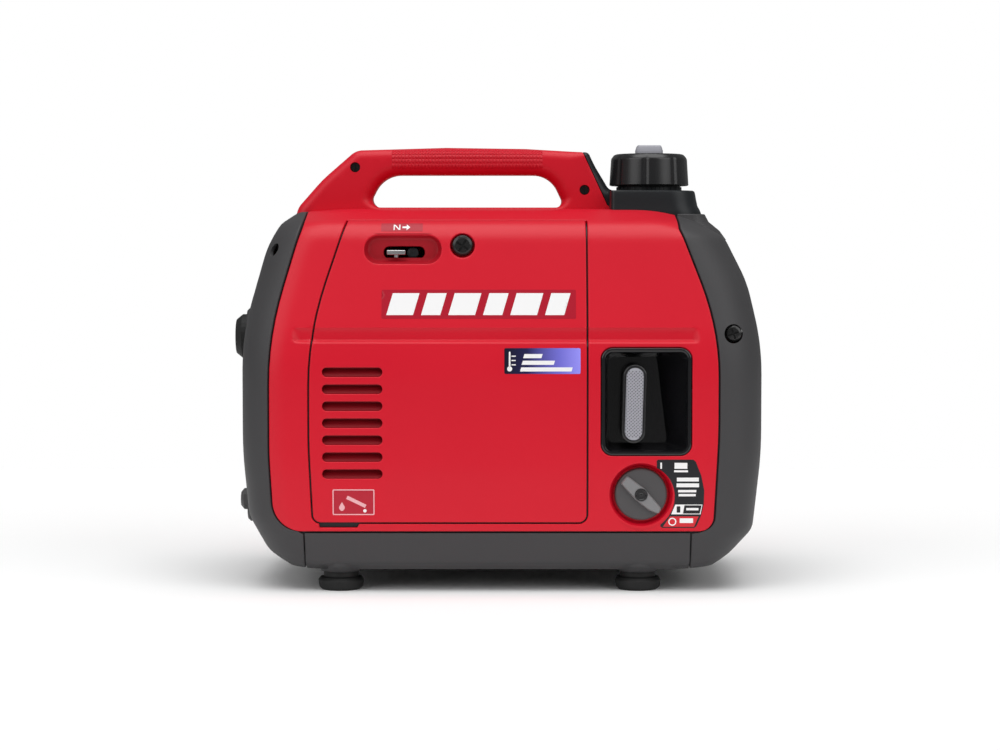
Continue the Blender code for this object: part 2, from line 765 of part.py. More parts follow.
def filler_surround(finish):
    """The black top around the filler, with the fairing that closes the handle's rear end."""
    middle = CAP_AT
    top = Z_SHOULDER + PLATFORM_RISE
    reach = 0.0425
    outline = box_outline((HANDLE_REAR + 0.001, -PLATFORM_HALF_DEPTH), (middle + reach, PLATFORM_HALF_DEPTH), 0.030)
    surround = prism([outline], "Z", Z_SHOULDER - 0.012, top)
    z_low = Z_SHOULDER + 0.001
    fairing = rounded(
        [
            (HANDLE_REAR + 0.002, z_low, 0),
            (HANDLE_REAR + 0.014, z_low, 0),
            (HANDLE_REAR + 0.006, top - 0.0005, 0),
            (HANDLE_REAR - 0.0030, top + 0.0015, 0.005),
            (HANDLE_REAR - 0.0172, Z_HANDLE - 0.0174, 0.06),
            (HANDLE_REAR - 0.0235, Z_HANDLE - 0.0050, 0.003),
            (HANDLE_REAR - 0.0290, Z_HANDLE - 0.0045, 0),
            (HANDLE_REAR - 0.0060, Z_SHOULDER + 0.0045, 0.006),
        ]
    )
    fuse(surround, prism([fairing], "Y", -HANDLE_HALF_DEPTH, HANDLE_HALF_DEPTH))
    cut(surround, case_block(-FIT))
    cut(surround, cylinder("Z", (middle, 0), top + FIT, HEIGHT * 2, CAP_RADIUS + RUNNING, 32))
    cut(surround, cylinder("Z", (middle, 0), Z_SHOULDER - 0.03, HEIGHT, NECK_RADIUS + RUNNING, 24))
    return named(surround, "filler_surround", finish)


# ---------------------------------------------------------------- filler, cap and tank
def cap_base():
    return HEIGHT - LEVER_HEIGHT - CAP_HEIGHT


def fuel_tank(finish):
    """A hollow tank under the shoulder, above the engine, open at its neck."""
    top = Z_SHOULDER - WALL - 0.009
    bottom = min(SHAFT_AT[1] + CRANKCASE[2] / 2 + 0.038, top - 0.02)
    low = -0.005, -(HALF_WIDTH - 0.068), bottom
    high = X_REAR - 0.072, HALF_WIDTH - 0.068, top
    tank = soft_box(low, high, 0.012)
    fuse(tank, cylinder("Z", (CAP_AT, 0), top - 0.01, cap_base() + 0.016, NECK_RADIUS, 24))
    inner = 0.002
    cut(tank, soft_box([v + inner for v in low], [v - inner for v in high], 0.010))
    cut(tank, cylinder("Z", (CAP_AT, 0), top - 0.02, HEIGHT, NECK_BORE, 24))
    return named(tank, "fuel_tank", finish)


def fuel_cap(finish):
    base, top = cap_base(), HEIGHT - LEVER_HEIGHT
    bore = NECK_RADIUS + RUNNING * 2
    roof = base + 0.0185
    profile = [
        (0, top), (CAP_RADIUS - 0.004, top), (CAP_RADIUS, top - 0.004), (CAP_RADIUS, base),
        (bore, base), (bore, roof), (0, roof),
    ]
    return named(turned(profile, "Z", (CAP_AT, 0), 32), "fuel_cap", finish, (CAP_AT, 0, base))


def fuel_cap_gasket(finish):
    low = cap_base() + 0.0163
    profile = [(NECK_RADIUS, low), (NECK_BORE - 0.003, low), (NECK_BORE - 0.003, low + 0.0018), (NECK_RADIUS, low + 0.0018)]
    return named(turned(profile, "Z", (CAP_AT, 0), 20), "fuel_cap_gasket", finish, (CAP_AT, 0, low))


def vent_lever(finish):
    base = HEIGHT - LEVER_HEIGHT + FIT
    outline = box_outline((CAP_AT - 0.0135, -0.0075), (CAP_AT + 0.0135, 0.0075), 0.004)
    lever = prism([outline], "Z", base, HEIGHT)
    return named(lever, "vent_lever", finish, (CAP_AT, 0, base))


# ---------------------------------------------------------------- starter
def bezel_corners():
    half = BEZEL_SIZE[0] / 2, BEZEL_SIZE[1] / 2
    low = BEZEL_AT[0] - half[0], BEZEL_AT[1] - half[1]
    high = BEZEL_AT[0] + half[0], BEZEL_AT[1] + half[1]
    return low, high


def starter_bezel(finish):
    front = -HALF_WIDTH + FIT
    back = front + BEZEL_DEPTH
    outline = box_outline(*bezel_corners(), 0.011)
    bezel = prism([outline], "Y", front, back)
    cut(bezel, prism([grown(outline, -WALL)], "Y", front - 0.01, back - 0.0025))
    cut(bezel, cylinder("Y", GRIP_AT, back - 0.01, back + 0.01, ROPE_RADIUS + 0.0015, 12))
    return named(bezel, "starter_bezel", finish)


def grip_front():
    return -HALF_WIDTH + 0.0045


def starter_grip(finish):
    front = grip_front()
    grip = prism([stadium_upright(GRIP_AT, *GRIP_SIZE)], "Y", front, front + GRIP_THICK)
    fuse(grip, cone("Y", GRIP_AT, front + GRIP_THICK - 0.004, rope_start(), 0.0075, 0.0045, 16))
    cut(grip, prism([stadium_upright(GRIP_AT, *grip_insert_size(RUNNING / 2))], "Y", front - 0.01, front + 0.0016))
    return named(grip, "starter_grip", finish, (GRIP_AT[0], front, GRIP_AT[1]))


def stadium_upright(centre, width, height):
    half = width / 2, height / 2
    low = centre[0] - half[0], centre[1] - half[1]
    return box_outline(low, (centre[0] + half[0], centre[1] + half[1]), half[0] * 0.9)


def grip_insert_size(extra=0.0):
    return GRIP_SIZE[0] - 0.006 + 2 * extra, GRIP_SIZE[1] - 0.006 + 2 * extra


def starter_grip_insert(finish):
    front = grip_front()
    insert = prism([stadium_upright(GRIP_AT, *grip_insert_size())], "Y", front - 0.0006, front + 0.0013)
    return named(insert, "starter_grip_insert", finish, (GRIP_AT[0], front, GRIP_AT[1]))


def rope_start():
    return -HALF_WIDTH + BEZEL_DEPTH - 0.0040


def reel_middle():
    return -HALF_WIDTH + BEZEL_DEPTH + 0.0130


def starter_rope(finish):
    """From the grip's back, through the bezel and round to the top of the reel."""
    x, z = GRIP_AT
    start = rope_start() + FIT
    lane = reel_middle()
    bend = 0.007
    points = [(x, start, z), (x, lane - bend, z)]
    for k in range(1, 6):
        angle = k * pi / 10
        points.append((x - bend * (1 - cos(angle)), lane - bend + bend * sin(angle), z))
    points.append((SHAFT_AT[0] + 0.004, lane, z))
    return named(tube(points, ROPE_RADIUS), "starter_rope", finish, (x, start, z))


def starter_housing(finish):
    """The cup that holds the reel, behind the bezel."""
    front = -HALF_WIDTH + BEZEL_DEPTH + 0.0008
    radius = REEL_RADIUS + ROPE_RADIUS * 2 + 0.006
    depth = 0.022
    wall = 0.0018
    profile = [
        (0.004, front), (radius, front), (radius, front + depth), (radius - wall, front + depth),
        (radius - wall, front + wall), (0.004, front + wall),
    ]
    housing = turned(profile, "Y", SHAFT_AT, 28)
    cut(housing, cylinder("Y", GRIP_AT, front - 0.01, front + 0.01, ROPE_RADIUS + 0.0015, 12))
    lane = reel_middle()
    gap = ROPE_RADIUS + 0.0012
    cut(housing, box((SHAFT_AT[0] + 0.01, lane - gap, GRIP_AT[1] - gap), (GRIP_AT[0] + 0.01, lane + gap, GRIP_AT[1] + gap)))
    cut(housing, box((GRIP_AT[0] - gap, front - 0.002, GRIP_AT[1] - gap), (GRIP_AT[0] + gap, lane + gap, GRIP_AT[1] + gap)))
    return named(housing, "starter_housing", finish)


def reel_radius():
    """The rope leaves the top of the reel level with the grip."""
    return GRIP_AT[1] - SHAFT_AT[1]


def starter_reel(finish):
    lane = reel_middle()
    groove = min(REEL_RADIUS, reel_radius() - ROPE_RADIUS - RUNNING)
    rim = groove - 0.001
    profile = [
        (0.0045, lane - 0.007), (rim, lane - 0.007), (rim, lane - 0.005), (rim - 0.006, lane - 0.0035),
        (rim - 0.006, lane + 0.0035), (rim, lane + 0.005), (rim, lane + 0.007), (0.0045, lane + 0.007),
    ]
    return named(turned(profile, "Y", SHAFT_AT, 28), "starter_reel", finish, (SHAFT_AT[0], lane, SHAFT_AT[1]))


# ---------------------------------------------------------------- switch, choke and screws
def switch_face():
    return -HALF_WIDTH + 0.0042


def engine_switch_knob(finish):
    back = -HALF_WIDTH + DISH_DEPTH - RUNNING
    face = switch_face()
    shaft_end = back + 0.016
    profile = [
        (0, face), (SWITCH_RADIUS - 0.001, face), (SWITCH_RADIUS, face + 0.001), (SWITCH_RADIUS, back),
        (0.005, back), (0.005, shaft_end), (0, shaft_end),
    ]
    return named(turned(profile, "Y", SWITCH_AT, 32), "engine_switch_knob", finish, (SWITCH_AT[0], face, SWITCH_AT[1]))


def pointer_outline(length, width, angle):
    """A lozenge that tapers to a point at its lower rear end."""
    half = length / 2
    corners = [
        (half, 0, 0.003), (0.004, width / 2, 0.03), (-half + 0.005, width * 0.26, 0.002),
        (-half, 0, 0.002), (-half + 0.002, -width * 0.22, 0.002), (0.0, -width / 2, 0.03),
    ]
    turn = Matrix.Rotation(angle, 2)
    middle = Vector(SWITCH_AT)
    return [middle + turn @ point for point in rounded(corners)]


def engine_switch_pointer(finish):
    outline = pointer_outline(2 * SWITCH_RADIUS - 0.0008, 0.0175, radians(-43))
    face = switch_face()
    pointer = prism([outline], "Y", -HALF_WIDTH + 0.0002, face - FIT)
    cut(pointer, cylinder("Y", SWITCH_AT, -WIDTH, 0, 0.0055, 16))
    return named(pointer, "engine_switch_pointer", finish, (SWITCH_AT[0], face, SWITCH_AT[1]))


def screw(axis_side, place, head_radius, head_height, shank_radius, shank_length, face, slot=True):
    """A pan-head screw along Y. axis_side is -1 where the head faces -Y."""
    near, far = sorted((face, face - axis_side * head_height))
    body = cylinder("Y", place, near, far, head_radius, 16)
    root = face - axis_side * (head_height - 0.0005)
    near, far = sorted((root, root - axis_side * shank_length))
    fuse(body, cylinder("Y", place, near, far, shank_radius, 10))
    if slot:
        floor = face - axis_side * head_height * 0.45
        near, far = sorted((face + axis_side * 0.002, floor))
        wide, tall = head_radius * 0.11, head_radius + 0.001
        low = place[0] - wide, near, place[1] - tall
        high = place[0] + wide, far, place[1] + tall
        cut(body, box(low, high))
    return body


def engine_switch_screw(finish):
    face = switch_face() - 0.0028
    body = screw(-1, SWITCH_AT, 0.0050, -face + switch_face() - FIT, 0.001, 0.0001, face, slot=False)
    return named(body, "engine_switch_screw", finish, (SWITCH_AT[0], face, SWITCH_AT[1]))


def fuel_valve(finish):
    start = -HALF_WIDTH + DISH_DEPTH + 0.016 + RUNNING
    valve = cylinder("Y", SWITCH_AT, start, start + 0.016, 0.012, 16)
    fuse(valve, cylinder("Z", (SWITCH_AT[0], start + 0.008), SWITCH_AT[1], SWITCH_AT[1] + 0.018, 0.004, 10))
    return named(valve, "fuel_valve", finish)


def fuel_hose(finish):
    """From the fuel valve along the crankcase to the carburettor."""
    y = -HALF_WIDTH + DISH_DEPTH + 0.016 + RUNNING + 0.008
    x, z = SWITCH_AT[0], SWITCH_AT[1] - 0.004
    start = x - 0.012 - FIT
    low = Z_FLOOR + 0.040
    points = [(start, y, z), (start - 0.010, y, z - 0.004), (start - 0.025, y, low + 0.008)]
    points += [(start - 0.045, y, low), (-0.030, y, low), (-0.048, y, low + 0.008)]
    points += [(-0.056, y, low + 0.022), (-0.058, y, CARBURETTOR_LOW - FIT)]
    return named(tube(points, 0.0035), "fuel_hose", finish)


def choke_lever(finish):
    wall = -side_surface(CHOKE_AT[1])
    x = CHOKE_AT[0] - 0.0065
    z = CHOKE_AT[1] - 0.003
    tab = box((x - CHOKE_TAB[0] / 2, wall + 0.0030, z - CHOKE_TAB[1] / 2), (x + CHOKE_TAB[0] / 2, wall + 0.0050, z + CHOKE_TAB[1] / 2))
    fuse(tab, box((x - 0.002, wall + 0.0040, z - 0.0045), (x + 0.002, wall + 0.0220, z + 0.0015)))
    fuse(tab, box((x - 0.010, wall + 0.0200, z - 0.012), (x + 0.010, wall + 0.0220, z + 0.004)))
    return named(tab, "choke_lever", finish, (x, wall, z))


def maintenance_cover_screw(finish):
    face = -side_surface(SCREW_AT[1]) + 0.0010
    reach = -COVER_LIP + 0.012 - face - 0.0045
    body = screw(-1, SCREW_AT, SCREW_HEAD_RADIUS, 0.0050, SCREW_SHANK_RADIUS, reach, face)
    return named(body, "maintenance_cover_screw", finish, (SCREW_AT[0], face, SCREW_AT[1]))


def end_screws(finish):
    for name, point, facing, radius, depth in end_screw_places():
        height = depth * 0.55
        head = on_skin(point, facing, depth - FIT - height, depth - FIT, radius - RUNNING)
        named(head, name, finish)


def handle_screws(finish):
    made = []
    for label, place in zip(("front", "rear"), HANDLE_SCREWS):
        body = screw(-1, place, 0.0044, 0.0030, 0.0022, 0.0150, -0.0133)
        made.append(named(body, f"handle_screw_{label}", finish))
    return made


# ---------------------------------------------------------------- control end
def panel_face():
    return X_FRONT + PANEL_RECESS


def control_panel(finish):
    outline = grown(panel_opening(), WALL)
    face = panel_face()
    panel = prism([outline], "X", face, face + PANEL_THICK)
    y, z = ECO_AT
    cut(panel, prism([box_outline((y - 0.0075, z - 0.0125), (y + 0.0075, z + 0.0125), 0.001)], "X", face - 0.01, face + 0.01))
    cut(panel, cylinder("X", BREAKER_AT, face - 0.01, face + 0.01, BREAKER_RADIUS + RUNNING, 14))
    return named(panel, "control_panel", finish)


def duplex_outlet(name, y, z, finish):
    """Two vertical sockets, each with two blade slots and an earth hole."""
    front = panel_face() - 0.0045
    back = panel_face() - FIT
    outlet = prism([box_outline((y - 0.017, z - 0.034), (y + 0.017, z + 0.034), 0.003)], "X", front, back)
    for level in (z - 0.0165, z + 0.0165):
        for offset in (-0.0062, 0.0062):
            cut(outlet, box((front - 0.01, y + offset - 0.0011, level - 0.0002), (front + 0.003, y + offset + 0.0011, level + 0.0075)))
        cut(outlet, cylinder("X", (y, level - 0.006), front - 0.01, front + 0.003, 0.0024, 10))
    return named(outlet, name, finish)


def locking_outlet(finish):
    front = X_FRONT + 0.0045
    outlet = cylinder("X", OUTLET_CAP_AT, front, panel_face() - FIT, OUTLET_CAP_RADIUS - 0.001, 24)
    return named(outlet, "locking_outlet", finish)


def outlet_cap_pivot():
    y, z = OUTLET_CAP_AT
    return X_FRONT + 0.0040, y, z + OUTLET_CAP_RADIUS + 0.0010


def locking_outlet_cap(finish):
    back = X_FRONT + 0.0045 - RUNNING
    front = -LENGTH / 2
    y, z = OUTLET_CAP_AT
    radius = OUTLET_CAP_RADIUS
    profile = [(0, back), (radius, back), (radius, front + 0.006), (radius - 0.005, front), (0, front)]
    cap = turned(profile, "X", OUTLET_CAP_AT, 28)
    pivot = outlet_cap_pivot()
    fuse(cap, box((back - 0.004, y - 0.006, z + radius - 0.004), (back, y + 0.006, pivot[2] + 0.0015)))
    return named(cap, "locking_outlet_cap", finish, pivot)


def ground_terminal_nut(finish):
    front = X_FRONT - 0.0066
    profile = [
        (0, front), (GROUND_RADIUS - 0.0035, front), (GROUND_RADIUS, front + 0.003),
        (GROUND_RADIUS, panel_face() - RUNNING), (0, panel_face() - RUNNING),
    ]
    nut = turned(profile, "X", GROUND_AT, 12)
    return named(nut, "ground_terminal_nut", finish, (front, *GROUND_AT))


def eco_switch(finish):
    """A rocker whose two flats meet at a shallow ridge, on a pivot just behind the panel."""
    y, z = ECO_AT
    pivot_x = panel_face() + 0.003
    outline = [(pivot_x - 0.0075, z - 0.0105), (pivot_x - 0.0055, z), (pivot_x - 0.0090, z + 0.0105), (pivot_x + 0.004, z + 0.0075), (pivot_x + 0.004, z - 0.0075)]
    rocker = prism([[Vector(p) for p in outline]], "Y", y - 0.0065, y + 0.0065)
    return named(rocker, "eco_switch", finish, (pivot_x, y, z))


def breaker_button(finish):
    front = panel_face() - 0.0055
    body = cylinder("X", BREAKER_AT, front, panel_face() + PANEL_THICK + 0.0015, BREAKER_RADIUS, 14)
    return named(body, "breaker_button", finish, (front, *BREAKER_AT))


def parallel_sockets(finish):
    made = []
    for hand, y in (("left", PARALLEL_AT[0]), ("right", PARALLEL_AT[0] + 0.026)):
        front = panel_face() - 0.006
        place = y, PARALLEL_AT[1]
        body = cylinder("X", place, front, panel_face() - FIT, 0.0085, 16)
        cut(body, cylinder("X", place, front - 0.01, front + 0.004, 0.0022, 10))
        made.append(named(body, f"parallel_socket_{hand}", finish))
    return made


def indicator_lens(finish):
    y, z = INDICATOR_AT
    face = panel_face()
    lens = prism([box_outline((y - 0.018, z - 0.005), (y + 0.018, z + 0.005), 0.002)], "X", face - 0.0018, face - FIT)
    return named(lens, "indicator_lens", finish)


# ---------------------------------------------------------------- engine, alternator and electronics
def rotor_start():
    return -HALF_WIDTH + BEZEL_DEPTH + 0.0305


def crank_start():
    """Where the crankcase begins, behind the alternator."""
    return rotor_start() + ROTOR_WIDTH + 0.010


def crankcase(finish):
    x, z = SHAFT_AT
    low = x - CRANKCASE[0] / 2, crank_start(), z - CRANKCASE[2] / 2
    high = x + CRANKCASE[0] / 2, crank_start() + CRANKCASE[1], z + CRANKCASE[2] / 2
    body = soft_box(low, high, 0.010)
    cut(body, cylinder("Y", SHAFT_AT, low[1] - 0.01, high[1] - 0.020, SHAFT_RADIUS + RUNNING, 20))
    return named(body, "crankcase", finish)


def cylinder_axis():
    x, z = SHAFT_AT
    root = Vector((x - CRANKCASE[0] / 2 - FIT, crank_start() + CRANKCASE[1] / 2, z + 0.010))
    direction = Vector((-cos(CYLINDER_TILT), 0, sin(CYLINDER_TILT)))
    return root, direction


def turned_on(profile, root, direction, segments=20):
    body = turned(profile, "Z", (0, 0), segments)
    turn = direction.to_track_quat("Z", "Y").to_matrix().to_4x4()
    body.data.transform(Matrix.Translation(root) @ turn)
    return body


def finned_cylinder(finish):
    root, direction = cylinder_axis()
    start = CYLINDER_RADIUS * tan(CYLINDER_TILT) + 0.001
    core = CYLINDER_RADIUS - 0.012
    pitch = (CYLINDER_LENGTH - start) / FIN_COUNT
    profile = [(0, start), (core, start)]
    for k in range(FIN_COUNT):
        base = start + (k + 0.45) * pitch
        profile += [(core, base), (CYLINDER_RADIUS, base), (CYLINDER_RADIUS, base + 0.004), (core, base + 0.004)]
    profile += [(core, CYLINDER_LENGTH), (0, CYLINDER_LENGTH)]
    return named(turned_on(profile, root, direction), "engine_cylinder", finish)


def rocker_cover(finish):
    root, direction = cylinder_axis()
    half = CYLINDER_RADIUS - 0.008
    cover = soft_box((-half, -half, CYLINDER_LENGTH + FIT), (half, half, CYLINDER_LENGTH + 0.022), 0.006)
    turn = direction.to_track_quat("Z", "Y").to_matrix().to_4x4()
    cover.data.transform(Matrix.Translation(root) @ turn)
    return named(cover, "rocker_cover", finish)


def spark_plug(finish):
    root, direction = cylinder_axis()
    place = root + direction * (CYLINDER_LENGTH - 0.006)
    start = CYLINDER_RADIUS + FIT
    profile = [(0, start), (0.006, start), (0.006, start + 0.010), (0.004, start + 0.011), (0.0035, start + 0.026), (0, start + 0.026)]
    return named(turned_on(profile, place, Vector((0, 1, 0)), 12), "spark_plug", finish)


def carburettor(finish):
    """Between the air cleaner and the cylinder head, on the starter side."""
    y = CARBURETTOR_Y
    body = soft_box((-0.075, y - 0.020, CARBURETTOR_LOW), (-0.040, y + 0.020, CARBURETTOR_LOW + 0.050), 0.004)
    return named(body, "carburettor", finish)


def air_cleaner(finish):
    low = X_FRONT + 0.096, -HALF_WIDTH + 0.026, CARBURETTOR_LOW - 0.010
    high = -0.076, -0.030, CARBURETTOR_LOW + 0.095
    return named(soft_box(low, high, 0.009), "air_cleaner", finish)


def muffler(finish):
    low_x = SHAFT_AT[0] + CRANKCASE[0] / 2 + 0.012
    body = soft_box((low_x, EXHAUST_AT[0] - 0.055, EXHAUST_AT[1] - 0.030), (X_REAR - 0.022, EXHAUST_AT[0] + 0.045, EXHAUST_AT[1] + 0.085), 0.014)
    return named(body, "muffler", finish)


def exhaust_outlet(finish):
    start = X_REAR - 0.022 + FIT
    profile = [
        (0.009, start), (0.009, X_REAR), (EXHAUST_HOLE - 0.003, X_REAR),
        (EXHAUST_HOLE - 0.003, X_REAR - 0.004), (0.013, X_REAR - 0.006), (0.013, start),
    ]
    return named(turned(profile, "X", EXHAUST_AT, 20), "exhaust_outlet", finish)


def crankshaft(finish):
    start = reel_middle() + 0.0085
    end = crank_start() + CRANKCASE[1] - 0.022
    shaft = cylinder("Y", SHAFT_AT, start, end, SHAFT_RADIUS, 20)
    return named(shaft, "crankshaft", finish, (SHAFT_AT[0], 0, SHAFT_AT[1]))


def flywheel_rotor(finish):
    """A cup whose rim of magnets and fan blades turns round the stator."""
    start = rotor_start()
    end = start + ROTOR_WIDTH
    web, rim = 0.005, 0.008
    bore = SHAFT_RADIUS + FIT
    profile = [
        (bore, start), (ROTOR_RADIUS, start), (ROTOR_RADIUS, end), (ROTOR_RADIUS - rim, end),
        (ROTOR_RADIUS - rim, start + web), (bore, start + web),
    ]
    rotor = turned(profile, "Y", SHAFT_AT, 32)
    for k in range(8):
        angle = 2 * pi * k / 8
        blade = box((0.030, start - 0.007, -0.0015), (ROTOR_RADIUS - 0.004, start + 0.001, 0.0015))
        blade.data.transform(Matrix.Translation((SHAFT_AT[0], 0, SHAFT_AT[1])) @ Matrix.Rotation(angle, 4, "Y"))
        fuse(rotor, blade)
    return named(rotor, "flywheel_rotor", finish, (SHAFT_AT[0], start, SHAFT_AT[1]))


def stator(finish):
    start = rotor_start() + 0.009
    end = crank_start() - FIT
    radius = ROTOR_RADIUS - 0.008 - 0.0015
    profile = [
        (SHAFT_RADIUS + 0.004, start), (radius, start), (radius, start + 0.024), (0.030, start + 0.024),
        (0.030, end), (SHAFT_RADIUS + 0.004, end),
    ]
    return named(turned(profile, "Y", SHAFT_AT, 32), "stator", finish)


def inverter_unit(finish):
    """A finned box of power electronics behind the control panel."""
    low_x, high_x = X_FRONT + 0.030, X_FRONT + 0.072
    low_z, high_z = Z_FLOOR + 0.050, Z_FLOOR + 0.165
    body = box((low_x, -0.095, low_z), (high_x, 0.095, high_z))
    for k in range(6):
        y = -0.075 + k * 0.030
        cut(body, box((high_x - 0.012, y - 0.008, low_z - 0.01), (high_x + 0.01, y + 0.008, high_z + 0.01)))
    return named(body, "inverter_unit", finish)


def oil_filler_cap(finish):
    x = SHAFT_AT[0] - CRANKCASE[0] / 2 - FIT
    place = crank_start() + 0.020, SHAFT_AT[1] - CRANKCASE[2] / 2 + 0.018
    profile = [
        (0, x - 0.026), (0.010, x - 0.026), (0.0115, x - 0.024), (0.0115, x - 0.014), (0.007, x - 0.012),
        (0.007, x), (0, x),
    ]
    return named(turned(profile, "X", place, 12), "oil_filler_cap", finish, (x, *place))


def engine_mounts(finish):
    made = []
    floor = Z_FLOOR + WALL + FIT
    top = SHAFT_AT[1] - CRANKCASE[2] / 2 - FIT
    for label, x in (("front", SHAFT_AT[0] - 0.040), ("rear", SHAFT_AT[0] + 0.040)):
        middle = crank_start() + CRANKCASE[1] / 2
        body = soft_box((x - 0.010, middle - 0.040, floor), (x + 0.010, middle + 0.040, top), 0.003, 1)
        made.append(named(body, f"engine_mount_{label}", finish))
    return made


# places that follow from the sizes above
LOUVRE_COUNT = 8
LOUVRE_PITCH = 0.0145
LOUVRE_LOWEST = 0.140
LOUVRE_LENGTH = 0.150
LOUVRE_HEIGHT = 0.0065
EXHAUST_AT = 0.040, 0.095  # y, z
EXHAUST_HOLE = 0.024
ECO_AT = 0.052, OUTLET_CAP_AT[1] - 0.004
INDICATOR_AT = -0.055, OUTLET_CAP_AT[1] - 0.004
BREAKER_AT = 0.0, 0.178
BREAKER_RADIUS = 0.005
PARALLEL_AT = 0.030, 0.085
CARBURETTOR_LOW = 0.165
CARBURETTOR_Y = -HALF_WIDTH + DISH_DEPTH + 0.016 + RUNNING + 0.008


def empty_on(name, place, children):
    """An empty on a joint's axis that carries the pieces of one moving body."""
    holder = bpy.data.objects.new(name, None)
    collection().objects.link(holder)
    holder.location = place
    bpy.context.view_layer.update()
    for child in children:
        child.parent = holder
        child.matrix_parent_inverse = holder.matrix_world.inverted()


def main():
    clear_scene()
    red = material("red_plastic", RED, 0.38)
    grey = material("grey_plastic", GREY, 0.55)
    black = material("black_plastic", BLACK, 0.4)
    gloss = material("gloss_black", BLACK, 0.15)
    light = material("light_grey", (0.36, 0.36, 0.38), 0.5)
    rubber = material("rubber", (0.01, 0.01, 0.01), 0.7)
    steel = material("steel", STEEL, 0.3, 1.0)
    alloy = material("cast_alloy", (0.45, 0.45, 0.46), 0.45, 1.0)
    orange = material("orange_plastic", (0.8, 0.25, 0.02), 0.4)
    green = material("green_metal", (0.05, 0.3, 0.1), 0.4, 0.6)

    left_side_cover(red)
    right_side_cover(red)
    cover = maintenance_cover(red)
    front_cover(grey)
    rear_cover(grey)
    under_cover(grey)
    for name, x, y in foot_places():
        foot(name, x, y, rubber)
    filler_surround(black)
    fuel_tank(black)
    cap = fuel_cap(black)
    gasket = fuel_cap_gasket(rubber)
    lever = vent_lever(light)
    starter_bezel(gloss)
    grip = starter_grip(black)
    insert = starter_grip_insert(light)
    starter_rope(rubber)
    starter_housing(black)
    reel = starter_reel(black)
    knob = engine_switch_knob(grey)
    pointer = engine_switch_pointer(light)
    switch_screw = engine_switch_screw(black)
    fuel_valve(alloy)
    fuel_hose(rubber)
    choke_lever(steel)
    maintenance_cover_screw(black)
    end_screws(black)
    handle_screws(steel)
    control_panel(black)
    duplex_outlet("ac_outlet_left", 0.045, 0.170, black)
    duplex_outlet("ac_outlet_right", -0.045, 0.170, black)
    locking_outlet(black)
    outlet_cap = locking_outlet_cap(rubber)
    nut = ground_terminal_nut(green)
    eco_switch(light)
    breaker_button(black)
    parallel_sockets(black)
    indicator_lens(gloss)
    crankcase(alloy)
    finned_cylinder(alloy)
    rocker_cover(alloy)
    spark_plug(steel)
    carburettor(alloy)
    air_cleaner(black)
    muffler(steel)
    exhaust_outlet(steel)
    shaft = crankshaft(steel)
    rotor = flywheel_rotor(alloy)
    stator(steel)
    inverter_unit(alloy)
    oil_filler_cap(orange)
    engine_mounts(rubber)

    empty_on("fuel_cap_joint", cap.location.copy(), (cap, gasket, lever))
    empty_on("starter_joint", grip.location.copy(), (grip, insert))
    empty_on("switch_joint", knob.location.copy(), (knob, pointer, switch_screw))
    empty_on("crank_joint", shaft.location.copy(), (shaft, rotor))


main()
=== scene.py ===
"""Finished looks for a portable inverter generator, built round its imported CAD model.

Units are metres, +Z is up, the control end faces -X and the starter side faces -Y. The file is laid out as an
add-on: each operator makes one piece or one group of like pieces, and main() calls them in order.
"""

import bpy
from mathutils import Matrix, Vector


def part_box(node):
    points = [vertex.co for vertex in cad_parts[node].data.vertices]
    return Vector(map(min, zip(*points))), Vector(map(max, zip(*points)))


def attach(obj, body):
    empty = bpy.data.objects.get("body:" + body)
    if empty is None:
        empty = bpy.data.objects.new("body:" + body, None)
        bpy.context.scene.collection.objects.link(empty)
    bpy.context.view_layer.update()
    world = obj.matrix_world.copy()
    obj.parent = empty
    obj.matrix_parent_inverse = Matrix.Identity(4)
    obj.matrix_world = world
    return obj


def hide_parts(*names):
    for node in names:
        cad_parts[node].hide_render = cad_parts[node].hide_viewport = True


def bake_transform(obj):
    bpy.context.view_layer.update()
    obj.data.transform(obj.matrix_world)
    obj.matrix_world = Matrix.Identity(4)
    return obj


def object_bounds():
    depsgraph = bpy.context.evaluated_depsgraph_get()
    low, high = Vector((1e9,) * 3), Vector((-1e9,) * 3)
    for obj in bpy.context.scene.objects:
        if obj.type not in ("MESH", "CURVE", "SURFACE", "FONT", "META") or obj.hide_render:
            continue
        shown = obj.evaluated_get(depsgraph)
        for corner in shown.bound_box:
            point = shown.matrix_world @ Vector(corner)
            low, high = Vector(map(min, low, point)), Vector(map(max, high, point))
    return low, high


bl_info = {
    "name": "Portable Inverter Generator",
    "version": (1, 0, 0),
    "blender": (4, 5, 0),
    "location": "View3D > Sidebar > Generator",
    "description": "Builds the moulded case, handle, starter, switch and labels of a suitcase generator",
    "category": "Add Mesh",
}

from math import atan, ceil, cos, hypot, pi, radians, sin, tan

import bmesh
import bpy
import numpy as np
from mathutils import Matrix, Vector
from mathutils.geometry import delaunay_2d_cdt

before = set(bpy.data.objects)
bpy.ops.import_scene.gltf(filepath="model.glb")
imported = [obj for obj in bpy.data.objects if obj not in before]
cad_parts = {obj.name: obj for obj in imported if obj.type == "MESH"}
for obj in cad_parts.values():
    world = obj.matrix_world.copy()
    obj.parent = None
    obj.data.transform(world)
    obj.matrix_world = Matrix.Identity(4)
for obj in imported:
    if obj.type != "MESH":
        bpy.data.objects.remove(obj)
CAD_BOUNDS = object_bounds()

